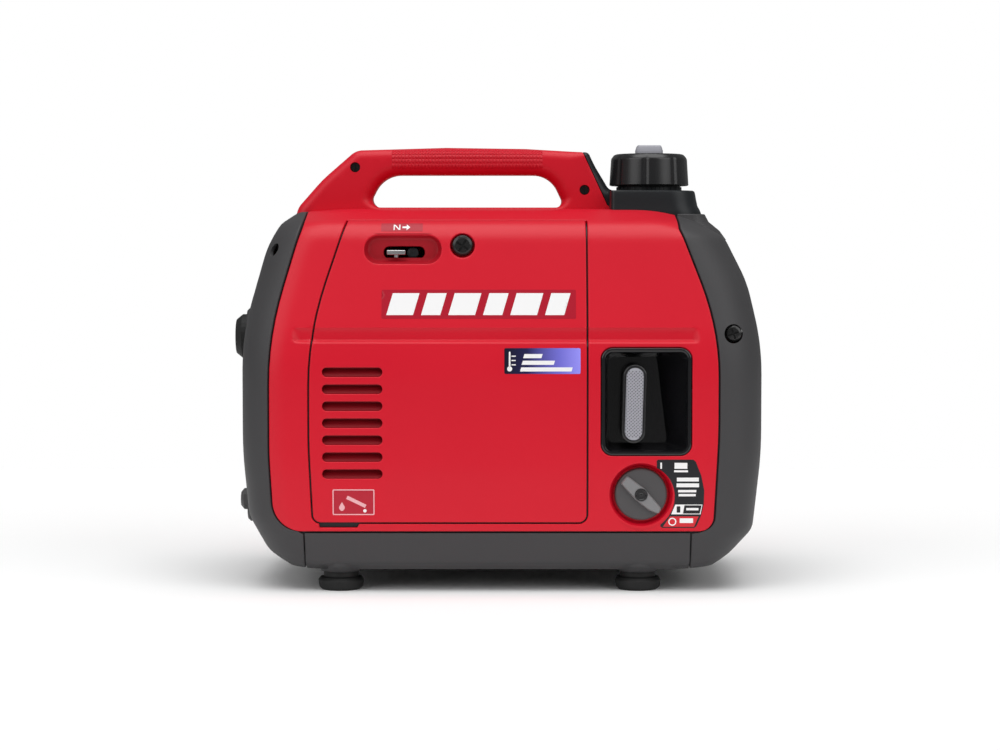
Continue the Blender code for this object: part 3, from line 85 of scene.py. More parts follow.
# ---------------------------------------------------------------- sizes the pieces share, from the frame
X_REAR = CAD_BOUNDS[1].x
X_FRONT = X_REAR - 0.5004
HALF_WIDTH = -CAD_BOUNDS[0].y
HEIGHT = CAD_BOUNDS[1].z
Z_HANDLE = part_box("left_side_cover")[1].z
Z_SHOULDER = Z_HANDLE - 0.060
Z_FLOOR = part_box("front_cover")[0].z
Z_SILL = 0.0585
CORNER_RADIUS = 0.045
CORNER_SHARE = 0.8
CROWN = 0.04
CROWN_FLAT, CROWN_LEAST = 0.02, 0.0004
SEAM = 0.001
COVER_GAP = 0.0016
LEAN = atan(CROWN)
EDGE_STEP = 0.002


# ---------------------------------------------------------------- what a user can change
def length_setting(name, description, default, low, high):
    return bpy.props.FloatProperty(
        name=name, description=description, default=default, min=low, max=high, unit="LENGTH"
    )


def colour_setting(name, description, default):
    return bpy.props.FloatVectorProperty(
        name=name, description=description, subtype="COLOR", size=3, default=default, min=0, max=1
    )


def strength_setting(name, description, default, high):
    return bpy.props.FloatProperty(name=name, description=description, default=default, min=0, max=high)


class CaseSizes(bpy.types.PropertyGroup):
    """Sizes of the moulded case."""

    edge: length_setting("Edge radius", "Rounding along the panels' edges", 0.0011, 0.0002, 0.003)
    wall: length_setting("Wall", "Thickness of the moulded panels", 0.003, 0.001, 0.006)
    pitch: length_setting("Mesh pitch", "Spacing of the points on the large panels", 0.005, 0.002, 0.02)
    groove: length_setting("Groove depth", "Depth of the channel that runs round the side", 0.0034, 0.0, 0.005)
    handle_edge: length_setting("Handle rounding", "Rounding of the carrying handle", 0.009, 0.002, 0.015)


class Finishes(bpy.types.PropertyGroup):
    """Colours of the main materials, and the strength of the light."""

    red: colour_setting("Red plastic", "Colour of the side panels", (0.60, 0.0030, 0.018))
    grey: colour_setting("Grey plastic", "Colour of the end covers", (0.046, 0.045, 0.047))
    black: colour_setting("Black plastic", "Colour of the filler surround", (0.010, 0.012, 0.014))
    key: strength_setting("Key light", "Strength of the broad light overhead", 2.3, 20)
    fill: strength_setting("Side lights", "Strength of the soft lights at either side", 0.8, 20)
    surroundings: strength_setting("Surroundings", "Brightness of the room round the object", 0.20, 2)


# ---------------------------------------------------------------- outlines
def corner_arc(before, corner, after, radius, step):
    """The points of one rounded corner of an outline."""
    to_before = (before - corner).normalized()
    to_after = (after - corner).normalized()
    turn = pi - to_before.angle(to_after)
    if radius <= 0 or turn < 1e-4:
        return [corner]
    longest = 0.49 * min((before - corner).length, (after - corner).length)
    reach = min(radius * tan(turn / 2), longest)
    radius = reach / tan(turn / 2)
    centre = corner + (to_before + to_after).normalized() * radius / cos(turn / 2)
    first = corner + to_before * reach - centre
    side = 1 if to_after.x * to_before.y - to_after.y * to_before.x > 0 else -1
    count = max(1, ceil(turn / step))
    return [centre + first @ Matrix.Rotation(-side * turn * k / count, 2) for k in range(count + 1)]


def rounded(corners, step=radians(6), closed=True):
    """An outline through (u, v, radius) corners, each rounded to its radius."""
    points = [Vector(c[:2]) for c in corners]
    outline = []
    for i, (_, _, radius) in enumerate(corners):
        if not closed and i in (0, len(corners) - 1):
            outline.append(points[i])
            continue
        outline += corner_arc(points[i - 1], points[i], points[(i + 1) % len(points)], radius, step)
    return outline


def shifted(outline, distances):
    """The outline moved inwards, into what it encloses, by one distance or by one for each point."""
    points = np.array(outline, float)
    back = points - np.roll(points, 1, axis=0)
    on = np.roll(points, -1, axis=0) - points
    back /= np.maximum(np.linalg.norm(back, axis=1), 1e-12)[:, None]
    on /= np.maximum(np.linalg.norm(on, axis=1), 1e-12)[:, None]
    side = 1.0 if area(points) > 0 else -1.0
    first = np.stack([-back[:, 1], back[:, 0]], axis=1) * side
    second = np.stack([-on[:, 1], on[:, 0]], axis=1) * side
    share = 1 + (first * second).sum(axis=1)
    return points + (first + second) * (np.broadcast_to(distances, len(points)) / np.maximum(share, 0.35))[:, None]


def turned_left(outline):
    """The outline in its counter-clockwise order."""
    return outline if area(outline) > 0 else outline[::-1]


def area(points):
    """The area in an outline, above zero when it runs counter-clockwise."""
    points = np.asarray(points, float)
    after = np.roll(points, -1, axis=0)
    return 0.5 * float((points[:, 0] * after[:, 1] - after[:, 0] * points[:, 1]).sum())


def evenly(outline, pitch, closed=True):
    """The outline with its long stretches divided, and points that all but meet dropped."""
    points = [np.array(p, float) for p in outline]
    made = []
    count = len(points)
    for i in range(count if closed else count - 1):
        start, end = points[i], points[(i + 1) % count]
        length = float(np.linalg.norm(end - start))
        if length < min(pitch * 0.1, 1e-4):
            continue
        steps = max(1, ceil(length / pitch))
        made += [start + (end - start) * k / steps for k in range(steps)]
    if not closed:
        made.append(points[-1])
    return np.array(made)


def box_outline(low, high, radius=0.0, step=radians(10)):
    """A rectangle between two corners, with rounded corners."""
    corners = (low[0], low[1], radius), (high[0], low[1], radius), (*high, radius), (low[0], high[1], radius)
    return rounded(corners, step)


def stadium(centre, length, height, share=0.96):
    """A slot with round ends. share is how much of the half height the ends' radius takes."""
    half, radius = length / 2, height / 2
    low = centre[0] - half, centre[1] - radius
    high = centre[0] + half, centre[1] + radius
    return box_outline(low, high, min(half, radius) * share)


def circle(centre, radius, count=32):
    """A ring of points round a centre."""
    turns = [2 * pi * k / count for k in range(count)]
    return [Vector((centre[0] + radius * cos(turn), centre[1] + radius * sin(turn))) for turn in turns]


def contains(outline, points):
    """Which points lie inside an outline."""
    outline = np.asarray(outline, float)
    inside = np.zeros(len(points), bool)
    for (x0, y0), (x1, y1) in zip(outline, np.roll(outline, -1, axis=0)):
        crosses = (y0 > points[:, 1]) != (y1 > points[:, 1])
        if crosses.any():
            at = x0 + (points[:, 1] - y0) * (x1 - x0) / ((y1 - y0) or 1e-12)
            inside ^= crosses & (points[:, 0] < at)
    return inside


# ---------------------------------------------------------------- the shape of the case
def front_profile():
    """The control end's (X, Z) line in the middle plane, from the floor to the shoulder."""
    return rounded(
        [
            (X_FRONT + 0.0440, Z_FLOOR, 0), (X_FRONT + 0.0234, Z_FLOOR + 0.0155, 0.030),
            (X_FRONT + 0.0054, Z_FLOOR + 0.0490, 0.030), (X_FRONT - 0.0004, Z_FLOOR + 0.110, 0.40),
            (X_FRONT - 0.0004, Z_SHOULDER - 0.120, 0.25), (X_FRONT + 0.0224, Z_SHOULDER - 0.037, 0.12),
            (X_FRONT + 0.0349, Z_SHOULDER - 0.015, 0.020), (X_FRONT + 0.0504, Z_SHOULDER - 0.0035, 0.010),
            (X_FRONT + 0.0944, Z_SHOULDER, 0),
        ],
        radians(1.5),
        False,
    )


def rear_profile():
    """The exhaust end's (X, Z) line in the middle plane, from the floor to the shoulder."""
    return rounded(
        [
            (X_REAR - 0.0440, Z_FLOOR, 0), (X_REAR - 0.0280, Z_FLOOR + 0.0130, 0.030),
            (X_REAR - 0.0075, Z_FLOOR + 0.0360, 0.018), (X_REAR + 0.0004, Z_FLOOR + 0.109, 0.40),
            (X_REAR + 0.0004, Z_SHOULDER - 0.130, 0.25), (X_REAR - 0.0128, Z_SHOULDER - 0.071, 0.12),
            (X_REAR - 0.0340, Z_SHOULDER - 0.028, 0.016), (X_REAR - 0.0840, Z_SHOULDER, 0),
        ],
        radians(1.5),
        False,
    )


def side_profile():
    """The side's (Y, Z) line, from the floor over the shoulder to the middle plane."""
    return rounded(
        [
            (HALF_WIDTH - 0.020, Z_FLOOR, 0), (HALF_WIDTH - 0.011, Z_FLOOR + 0.007, 0.008),
            (HALF_WIDTH - 0.003, Z_SILL, 0.05), (HALF_WIDTH, Z_FLOOR + 0.094, 0.3),
            (HALF_WIDTH, Z_SHOULDER - 0.137, 0.22), (HALF_WIDTH - 0.033, Z_SHOULDER - 0.017, 0.028),
            (HALF_WIDTH - 0.083, Z_SHOULDER - 0.0012, 0.060), (0.020, Z_SHOULDER, 0),
        ],
        radians(1.5),
        False,
    )


FRONT_LINE = np.array(front_profile())
REAR_LINE = np.array(rear_profile())
SIDE_LINE = np.array(side_profile())


def running_length(line):
    """How far along a line each of its points is."""
    return np.concatenate([[0], np.cumsum(np.linalg.norm(np.diff(line, axis=0), axis=1))])


class Side:
    """A side of the case unrolled: u is X, and v is the way up over the side and across the shoulder.

    A point of the skin is found by stepping in from just outside the side's profile, by halves, to the case's surface.
    """

    START, DEEPEST, HALVINGS = 0.003, 0.06, 34
    line = np.vstack([SIDE_LINE, [[0.0004, Z_SHOULDER]]])
    way = running_length(line)

    def __init__(self, hand):
        self.hand = hand

    @classmethod
    def up(cls, z):
        """How far up the side a height is."""
        return np.interp(z, cls.line[:-1, 1], cls.way[:-1])

    @classmethod
    def over(cls, y):
        """How far up the side a distance from the middle plane is, on the shoulder."""
        top = cls.line[:, 1] > Z_SHOULDER - 0.1
        return np.interp(-y, -cls.line[top, 0], cls.way[top])

    @classmethod
    def unrolled(cls, outline):
        """An outline drawn in X and Z, in this surface's own measure."""
        outline = evenly(outline, EDGE_STEP)
        return np.stack([outline[:, 0], cls.up(outline[:, 1])], axis=1)

    def skin(self, u, v):
        """The points of the skin at unrolled places."""

        def at(way, axis):
            return np.interp(way, self.way, self.line[:, axis])

        half, z = at(v, 0), at(v, 1)
        ahead, behind = v + 0.002, v - 0.002
        along_y, along_z = at(ahead, 0) - at(behind, 0), at(ahead, 1) - at(behind, 1)
        size = np.hypot(along_y, along_z)
        out = np.stack([np.zeros_like(u), along_z / size, -along_y / size], axis=1)
        start = np.stack([u, half, z], axis=1) + out * self.START
        near, far = np.zeros(len(u)), np.full(len(u), self.DEEPEST)
        for _ in range(self.HALVINGS):
            middle = (near + far) / 2
            inside = within_case(start - out * middle[:, None])
            far, near = np.where(inside, middle, far), np.where(inside, near, middle)
        points = start - out * far[:, None]
        points[:, 1] *= self.hand
        return points


class End:
    """An end of the case unrolled: u is the way round from its middle, and v the way up its profile."""

    def __init__(self, line, inwards):
        self.line, self.inwards = line, inwards
        self.way = running_length(line)

    def skin(self, u, v):
        """The points of the skin at unrolled places."""
        z = np.interp(v, self.way, self.line[:, 1])
        tip = np.interp(v, self.way, self.line[:, 0])
        half = np.interp(z, SIDE_LINE[:, 1], SIDE_LINE[:, 0])
        radius = np.minimum(CORNER_RADIUS, half * CORNER_SHARE)
        before = half / cos(LEAN) - radius * tan((pi / 2 - LEAN) / 2)
        way = np.abs(u)
        flat = np.minimum(way, before)
        crown = np.where(flat < CROWN_FLAT, CROWN_LEAST + flat**2, flat * sin(LEAN))
        turn = LEAN + np.clip((way - before) / radius, 0, pi / 2 - LEAN)
        beyond = np.maximum(way - before - radius * (pi / 2 - LEAN), 0)
        depth = crown + radius * (cos(LEAN) - np.cos(turn)) + beyond
        across = flat * cos(LEAN) + radius * (np.sin(turn) - sin(LEAN))
        return np.stack([tip + self.inwards * depth, np.sign(u) * across, z], axis=1)

    def reach(self, v, limit):
        """How far round the end a limit in X is met, at one way up."""
        way = np.linspace(0, 0.30, 1500)
        x = self.skin(way, np.full(len(way), v))[:, 0] * self.inwards
        return float(np.interp(limit * self.inwards, x, way))


def within_case(points):
    """Which points lie inside the case."""
    x, y, z = points.T
    level = np.minimum(z, Z_SHOULDER)
    front = np.interp(level, FRONT_LINE[:, 1], FRONT_LINE[:, 0])
    rear = np.interp(level, REAR_LINE[:, 1], REAR_LINE[:, 0])
    half = np.interp(level, SIDE_LINE[:, 1], SIDE_LINE[:, 0])
    radius = np.minimum(CORNER_RADIUS, half * CORNER_SHARE)
    way = np.abs(y)
    crown = np.where(way < CROWN_FLAT, CROWN_LEAST + way**2, way * CROWN)
    ends = np.minimum(x - front, rear - x) - crown
    room = radius - np.hypot(np.maximum(radius - (half - way), 0), np.maximum(radius - ends * cos(LEAN), 0))
    return (room > 0) & (z < Z_SHOULDER)


def half_at(x, z):
    """How far the case's side stands from the middle plane at a station and a height."""
    front = np.interp(z, FRONT_LINE[:, 1], FRONT_LINE[:, 0])
    rear = np.interp(z, REAR_LINE[:, 1], REAR_LINE[:, 0])
    half = np.interp(z, SIDE_LINE[:, 1], SIDE_LINE[:, 0])
    radius = np.minimum(CORNER_RADIUS, half * CORNER_SHARE)
    past = np.maximum(front + half * CROWN + radius - x, x - rear + half * CROWN + radius)
    return half - radius + np.sqrt(np.maximum(radius**2 - np.maximum(past, 0) ** 2, 0))


def red_region():
    """The red side panel's outline, in X and Z."""
    return rounded(
        [
            (X_FRONT + 0.0625, Z_SHOULDER + 0.02, 0), (X_FRONT + 0.0625, Z_SHOULDER - 0.012, 0.030),
            (X_FRONT + 0.0321, Z_SHOULDER - 0.119, 0.34), (X_FRONT + 0.0321, Z_SILL + 0.0715, 0.30),
            (X_FRONT + 0.0360, Z_SILL, 0.028), (X_REAR - 0.0525, Z_SILL, 0.014),
            (X_REAR - 0.0480, Z_SILL + 0.0915, 0.40), (X_REAR - 0.0480, Z_SHOULDER - 0.113, 0.25),
            (X_REAR - 0.0830, Z_SHOULDER - 0.019, 0.010), (X_REAR - 0.0835, Z_SHOULDER + 0.02, 0),
        ],
        radians(3),
    )


COVER_REAR, COVER_LIP, COVER_SILL = 0.0865, 0.095, Z_SILL + 0.007


def cover_region():
    """The maintenance cover's outline, in X and Z."""
    top = Z_SHOULDER + 0.02
    return rounded(
        [
            (X_FRONT + 0.1130, top, 0), (X_FRONT + 0.0685, Z_SHOULDER - 0.117, 0.34),
            (X_FRONT + 0.0685, COVER_SILL + 0.0745, 0.30), (X_FRONT + 0.0720, COVER_SILL, 0.009),
            (COVER_REAR, COVER_SILL, 0.009), (COVER_REAR, top, 0),
        ],
        radians(3),
    )


def clipped(outline, top):
    """A side region in X and Z, unrolled and cut straight across at a way up the side."""
    points = evenly(outline, EDGE_STEP)
    ceiling = Side.up(points[:, 1])
    above = points[:, 1] > Z_SHOULDER - 0.0013
    ceiling[above] = np.maximum(ceiling[above], top)
    unrolled = np.stack([points[:, 0], np.minimum(ceiling, top)], axis=1)
    kept = [unrolled[0]]
    for point in unrolled[1:]:
        if np.linalg.norm(point - kept[-1]) > 2e-4:
            kept.append(point)
    return evenly(kept, EDGE_STEP)


# ---------------------------------------------------------------- making meshes
SHARP_ANGLE = radians(35)


def mesh_object(name, points, faces):
    """An object from points and faces, with its faces turned outwards."""
    mesh = bpy.data.meshes.new(name)
    mesh.from_pydata([tuple(p) for p in points], [], [tuple(int(i) for i in f) for f in faces])
    work = bmesh.new()
    work.from_mesh(mesh)
    bmesh.ops.remove_doubles(work, verts=work.verts, dist=1e-7)
    bmesh.ops.recalc_face_normals(work, faces=work.faces)
    work.to_mesh(mesh)
    work.free()
    obj = bpy.data.objects.new(name, mesh)
    bpy.context.scene.collection.objects.link(obj)
    return obj


def ringed(name, rings, hollow=False):
    """An object through rings of points, with its two ends filled, or its last ring joined to its first if hollow."""
    count, levels = len(rings[0]), len(rings)
    faces = []
    for level in range(levels if hollow else levels - 1):
        base, after = level * count, (level + 1) % levels * count
        faces += [(base + i, base + (i + 1) % count, after + (i + 1) % count, after + i) for i in range(count)]
    if not hollow:
        top = (levels - 1) * count
        faces += [tuple(range(count - 1, -1, -1)), tuple(range(top, top + count))]
    return mesh_object(name, [p for ring in rings for p in ring], faces)


def smoothed(obj):
    """Smooth shading with the sharp edges kept, and normals that follow the large faces."""
    obj.data.shade_smooth()
    obj.data.set_sharp_from_angle(angle=SHARP_ANGLE)
    weighted = obj.modifiers.new("weighted normals", "WEIGHTED_NORMAL")
    weighted.keep_sharp = True
    weighted.weight = 100


def dressed(obj, finish, body="case", stands_for=(), slot=None):
    """Gives an object its finish and shading, the body it rides on and the nodes it stands for."""
    obj.data.materials.clear()
    obj.data.materials.append(FINISHES[finish])
    smoothed(obj)
    if body:
        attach(obj, body)
    if stands_for:
        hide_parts(*([stands_for] if isinstance(stands_for, str) else stands_for))
    slot or finish in SLOTS
    return obj


def directions(skin, points, hand):
    """The skin's outward direction at unrolled points."""
    step = 0.0006
    u, v = points[:, 0], points[:, 1]
    du = skin(u + step, v) - skin(u - step, v)
    dv = skin(u, v + step) - skin(u, v - step)
    out = np.cross(du, dv) * hand
    return out / np.maximum(np.linalg.norm(out, axis=1), 1e-12)[:, None]


def scattered(rim, loops, holes, pitch, rows):
    """Points spread over a panel's face in staggered rows, with extra rows at given levels, clear of its rims."""
    low, high = loops[0].min(axis=0), loops[0].max(axis=0)
    levels = sorted(set(np.round(np.arange(low[1] + pitch / 2, high[1], pitch * 0.87), 6)) | set(rows))
    scatter = []
    last = -1.0
    for k, level in enumerate(levels):
        crowded = level - last < pitch * 0.4 or any(abs(level - row) < pitch * 0.4 for row in rows)
        if level not in rows and crowded:
            continue
        last = level
        first = low[0] + (pitch / 2 if k % 2 and level not in rows else 0)
        scatter += [(x, level) for x in np.arange(first, high[0], pitch * (0.5 if level in rows else 1))]
    if not scatter:
        return []
    scatter = np.array(scatter)
    scatter = scatter[between(rim, holes, scatter)]
    edges = np.vstack([rim, *holes])
    near = np.ones(len(scatter), bool)
    for i in range(0, len(scatter), 2000):
        part = scatter[i : i + 2000]
        gap = np.sqrt(((part[:, None, :] - edges[None, :, :]) ** 2).sum(axis=2)).min(axis=1)
        near[i : i + 2000] = gap > pitch * 0.25
    return list(scatter[near])


def between(outline, holes, points):
    """Which points lie inside an outline and outside its holes."""
    keep = contains(outline, points)
    for hole in holes:
        keep &= ~contains(hole, points)
    return keep


def skin_panel(
    name, skin, hand, outline, holes, finish, pitch, edge, wall, detail=None, rows=(), lift=0.0, arcs=4, **ride
):
    """A panel that follows a skin: rounded edges round its outline and holes, walls behind them, and a back.

    Outlines are in the skin's unrolled measure. edge is one radius, or a function of unrolled points. detail says how
    deep the face is sunk, and rows are levels where it needs points.
    """
    loops = [np.asarray(outline, float)] + [np.asarray(h, float) for h in holes]
    if area(loops[0]) < 0:
        loops[0] = loops[0][::-1]
    loops[1:] = [h[::-1] if area(h) > 0 else h for h in loops[1:]]
    rounding = [edge(loop) if callable(edge) else np.full(len(loop), edge) for loop in loops]
    flip = [1.0] + [-1.0] * (len(loops) - 1)
    inner = [shifted(loop, r * f) for loop, r, f in zip(loops, rounding, flip)]
    spots = list(np.vstack(inner)) + scattered(inner[0], loops, inner[1:], pitch, rows)
    edges, start = [], 0
    for loop in inner:
        count = len(loop)
        edges += [(start + i, start + (i + 1) % count) for i in range(count)]
        start += count
    made, _, triangles, _, _, _ = delaunay_2d_cdt([Vector(p) for p in spots], edges, [], 0, 1e-8)
    flat = np.array([tuple(p) for p in made])
    triangles = np.array([t for t in triangles if len(t) == 3])
    triangles = triangles[between(inner[0], inner[1:], flat[triangles].mean(axis=1))]

    def placed(points, depth):
        out = directions(skin, points, hand)
        sunk = depth - lift + (detail(points) if detail else 0.0)
        return skin(points[:, 0], points[:, 1]) - out * np.broadcast_to(sunk, len(points))[:, None]

    points, faces = [placed(flat, 0.0), placed(flat, wall)], []
    total = len(flat)
    for a, b, c in triangles:
        faces.append((a, b, c))
        faces.append((c + total, b + total, a + total))
    base = 2 * total
    for loop, r, f, first in zip(loops, rounding, flip, inner):
        count = len(loop)
        rings = []
        for k in range(arcs, -1, -1):
            turn = pi / 2 * k / arcs
            rings.append((shifted(loop, r * (1 - cos(turn)) * f), r * (1 - sin(turn))))
        rings.append((loop, np.full(count, wall)))
        rings.append((first, np.full(count, wall)))
        for level, (ring, depth) in enumerate(rings):
            points.append(placed(ring, depth))
            if level:
                for i in range(count):
                    j = (i + 1) % count
                    faces.append((base + i, base + j, base - count + j, base - count + i))
            base += count
    return dressed(mesh_object(name, np.vstack(points), faces), finish, **ride)


def facing(centre, out="-Y", spin=0.0):
    """A frame for shapes drawn flat: u to the right and v up, seen from the side that out names, and w outwards."""
    across, up, away = {
        "-Y": ((1, 0, 0), (0, 0, 1), (0, -1, 0)),
        "+Y": ((-1, 0, 0), (0, 0, 1), (0, 1, 0)),
        "-X": ((0, -1, 0), (0, 0, 1), (-1, 0, 0)),
        "+X": ((0, 1, 0), (0, 0, 1), (1, 0, 0)),
        "+Z": ((1, 0, 0), (0, 1, 0), (0, 0, 1)),
    }[out]
    turn = Matrix((across, up, away)).transposed().to_4x4()
    return Matrix.Translation(centre) @ turn @ Matrix.Rotation(spin, 4, "Z")


def towards(centre, direction):
    """A frame at a point whose w looks along a direction, with v as near up as can be."""
    away = Vector(direction).normalized()
    across = Vector((0, 0, 1)).cross(away).normalized()
    return Matrix.Translation(centre) @ Matrix((across, away.cross(across), away)).transposed().to_4x4()


def loft(name, rings, finish, hollow=False, **ride):
    """A closed body through rings of points, all of one length."""
    return dressed(ringed(name, rings, hollow), finish, **ride)


def stack(name, outline, place, steps, finish, **ride):
    """A flat outline raised through (inset, height) steps in a frame, as a plate, a tub or a button."""
    outline = [tuple(p) for p in outline]
    rings = []
    for inset, height in steps:
        ring = shifted(outline, inset) if inset else np.array(outline)
        rings.append([place @ Vector((u, v, height)) for u, v in ring])
    return loft(name, rings, finish, **ride)


def lathe(name, profile, place, finish, segments=48, shape=None, **ride):
    """A closed (radius, height) profile turned about a frame's w. shape may change a radius with angle and height."""
    points, faces, index = [], [], []
    for radius, height in profile:
        if radius < 1e-7:
            index.append([len(points)] * segments)
            points.append(place @ Vector((0, 0, height)))
            continue
        row = []
        for k in range(segments):
            angle = 2 * pi * k / segments
            r = shape(radius, height, angle) if shape else radius
            row.append(len(points))
            points.append(place @ Vector((r * cos(angle), r * sin(angle), height)))
        index.append(row)
    for a, b in zip(index, index[1:] + index[:1]):
        for k in range(segments):
            j = (k + 1) % segments
            face = []
            for i in (a[k], a[j], b[j], b[k]):
                if i not in face:
                    face.append(i)
            if len(face) > 2:
                faces.append(face)
    return dressed(mesh_object(name, points, faces), finish, **ride)


def softened(corners, step=radians(15)):
    """A (radius, height) profile with rounded corners, open at the axis."""
    return [(p[0], p[1]) for p in rounded(corners, step)]


# ---------------------------------------------------------------- node trees
class Sock:
    """A node's output that can be used in sums."""

    def __init__(self, nodes, socket):
        self.nodes, self.socket = nodes, socket

    def _sum(self, operation, *values):
        return self.nodes.add("ShaderNodeMath", {"operation": operation}, *values)

    def __add__(self, other):
        return self._sum("ADD", self, other)

    __radd__ = __add__

    def __sub__(self, other):
        return self._sum("SUBTRACT", self, other)

    def __rsub__(self, other):
        return self._sum("SUBTRACT", other, self)

    def __mul__(self, other):
        return self._sum("MULTIPLY", self, other)

    __rmul__ = __mul__

    def __truediv__(self, other):
        return self._sum("DIVIDE", self, other)

    def above(self, level):
        return self._sum("GREATER_THAN", self, level)

    def within(self, low, high):
        return self.above(low) * (1 - self.above(high))


class Nodes:
    """Adds nodes to a tree: a type, its settings, then the values or links of its sockets in order or by name."""

    def __init__(self, tree):
        self.tree = tree

    def make(self, kind, settings=None, *values, **named):
        node = self.tree.nodes.new(kind)
        for key, value in (settings or {}).items():
            if key == "stops":
                ramp = node.color_ramp.elements
                while len(ramp) < len(value):
                    ramp.new(1.0)
                for stop, (place, colour) in zip(ramp, value):
                    stop.position, stop.color = place, colour
            else:
                setattr(node, key, value)
        for key, value in [*enumerate(values), *named.items()]:
            socket = node.inputs[key if isinstance(key, int) else key.replace("_", " ")]
            if isinstance(value, Sock):
                self.tree.links.new(value.socket, socket)
            elif value is not None:
                socket.default_value = value
        return node

    def add(self, kind, settings=None, *values, output=0, **named):
        return Sock(self, self.make(kind, settings, *values, **named).outputs[output])


FINISHES = {}
SLOTS = {
    "red": "red_plastic", "grey": "grey_plastic", "black": "black_plastic", "gloss": "gloss_black",
    "silver": "light_grey", "pointer": "light_grey", "rubber": "rubber", "steel": "steel", "alloy": "cast_alloy",
    "iron": "iron", "windings": "copper_steel", "orange": "orange_plastic", "green": "green_metal", "lens": "lens",
    "knob": "black_plastic", "cap": "gloss_black", "screw": "black_plastic", "red_recess_shade": "red_plastic",
    "red_slot_shade": "red_plastic", "red_grip": "red_plastic",
}


def new_finish(name, colour, roughness, **values):
    """A material with its shader, and the node adder for it."""
    material = bpy.data.materials.new(name)
    material.use_nodes = True
    nodes = Nodes(material.node_tree)
    shader = material.node_tree.nodes["Principled BSDF"]
    shader.inputs["Base Color"].default_value = (*colour, 1)
    shader.inputs["Roughness"].default_value = roughness
    shader.inputs["Specular IOR Level"].default_value = 0.32 if roughness > 0.3 else 0.5
    for key, value in values.items():
        shader.inputs[key.replace("_", " ")].default_value = value
    FINISHES[name] = material
    return material, nodes, shader


def grained(name, colour, roughness, scale, depth, drift=0.06, spread=0.05, **values):
    """Moulded plastic: a fine spark-eroded grain, and slow changes of colour and gloss."""
    material, nodes, shader = new_finish(name, colour, roughness, **values)
    place = nodes.add("ShaderNodeTexCoord", output="Object")
    slow = nodes.add("ShaderNodeTexNoise", None, Vector=place, Scale=9.0, Detail=3.0)
    fine = nodes.add("ShaderNodeTexNoise", None, Vector=place, Scale=scale, Detail=4.0, Roughness=0.62)
    pits = nodes.add("ShaderNodeTexVoronoi", None, Vector=place, Scale=scale * 0.55)
    deep = tuple(c * (1 - drift) for c in colour)
    pale = tuple(min(1.0, c * (1 + drift) + drift * 0.01) for c in colour)
    shade = nodes.add("ShaderNodeMix", {"data_type": "RGBA"}, slow, output=2)
    mix = shade.socket.node
    mix.inputs[6].default_value, mix.inputs[7].default_value = (*deep, 1), (*pale, 1)
    nodes.tree.links.new(shade.socket, shader.inputs["Base Color"])
    gloss = roughness + (slow - 0.5) * spread + (fine - 0.5) * spread
    nodes.tree.links.new(gloss.socket, shader.inputs["Roughness"])
    bump = nodes.add("ShaderNodeBump", None, Strength=0.6, Distance=depth, Height=fine * 0.7 + pits * 0.3)
    nodes.tree.links.new(bump.socket, shader.inputs["Normal"])
    return material, nodes, shader


PIP_LENGTH, PIP_HEIGHT = 0.0066, 0.0062
GRIP_BAND, GRIP_DEEP = (-0.1020, 0.0455), 0.0205


def knurled(name, colour, roughness):
    """Moulded plastic that carries rows of raised pips along the middle of the handle."""
    _, nodes, shader = new_finish(name, colour, roughness)
    place = nodes.add("ShaderNodeTexCoord", output="Object")
    split = nodes.make("ShaderNodeSeparateXYZ", None, place)
    x, y, z = (Sock(nodes, out) for out in split.outputs)
    up = z * 0.72 + y * 0.70
    along = nodes.add("ShaderNodeMath", {"operation": "SINE"}, x * (2 * pi / PIP_LENGTH))
    around = nodes.add("ShaderNodeMath", {"operation": "SINE"}, up * (2 * pi / PIP_HEIGHT))
    pips = nodes.add("ShaderNodeMath", {"operation": "ABSOLUTE"}, along * around)
    band = x.within(*GRIP_BAND) * z.within(Z_HANDLE - GRIP_DEEP, 1.0)
    slow = nodes.add("ShaderNodeTexNoise", None, Vector=place, Scale=9.0, Detail=3.0)
    gloss = roughness + (slow - 0.5) * 0.06
    nodes.tree.links.new(gloss.socket, shader.inputs["Roughness"])
    bump = nodes.add("ShaderNodeBump", None, Strength=0.9, Distance=0.0009, Height=(pips + 0.6) * band)
    nodes.tree.links.new(bump.socket, shader.inputs["Normal"])


def metal(name, colour, roughness, scale=(4, 4, 260)):
    """Drawn or cast metal with faint lines and uneven polish."""
    _, nodes, shader = new_finish(name, colour, roughness, Metallic=1.0)
    place = nodes.add("ShaderNodeTexCoord", output="Object")
    drawn = nodes.add("ShaderNodeMapping", None, Vector=place, Scale=scale)
    lines = nodes.add("ShaderNodeTexNoise", None, Vector=drawn, Scale=6.0, Detail=5.0)
    patches = nodes.add("ShaderNodeTexNoise", None, Vector=place, Scale=38.0, Detail=2.0)
    gloss = roughness + (lines - 0.5) * 0.22 + (patches - 0.5) * 0.12
    nodes.tree.links.new(gloss.socket, shader.inputs["Roughness"])
    bump = nodes.add("ShaderNodeBump", None, Strength=0.25, Distance=0.0002, Height=lines)
    nodes.tree.links.new(bump.socket, shader.inputs["Normal"])


def ink(name, colour, roughness=0.35):
    """Printed film: flat colour with a trace of unevenness."""
    _, nodes, shader = new_finish(name, colour, roughness)
    place = nodes.add("ShaderNodeTexCoord", output="Object")
    slow = nodes.add("ShaderNodeTexNoise", None, Vector=place, Scale=60.0, Detail=2.0)
    gloss = roughness + (slow - 0.5) * 0.08
    nodes.tree.links.new(gloss.socket, shader.inputs["Roughness"])


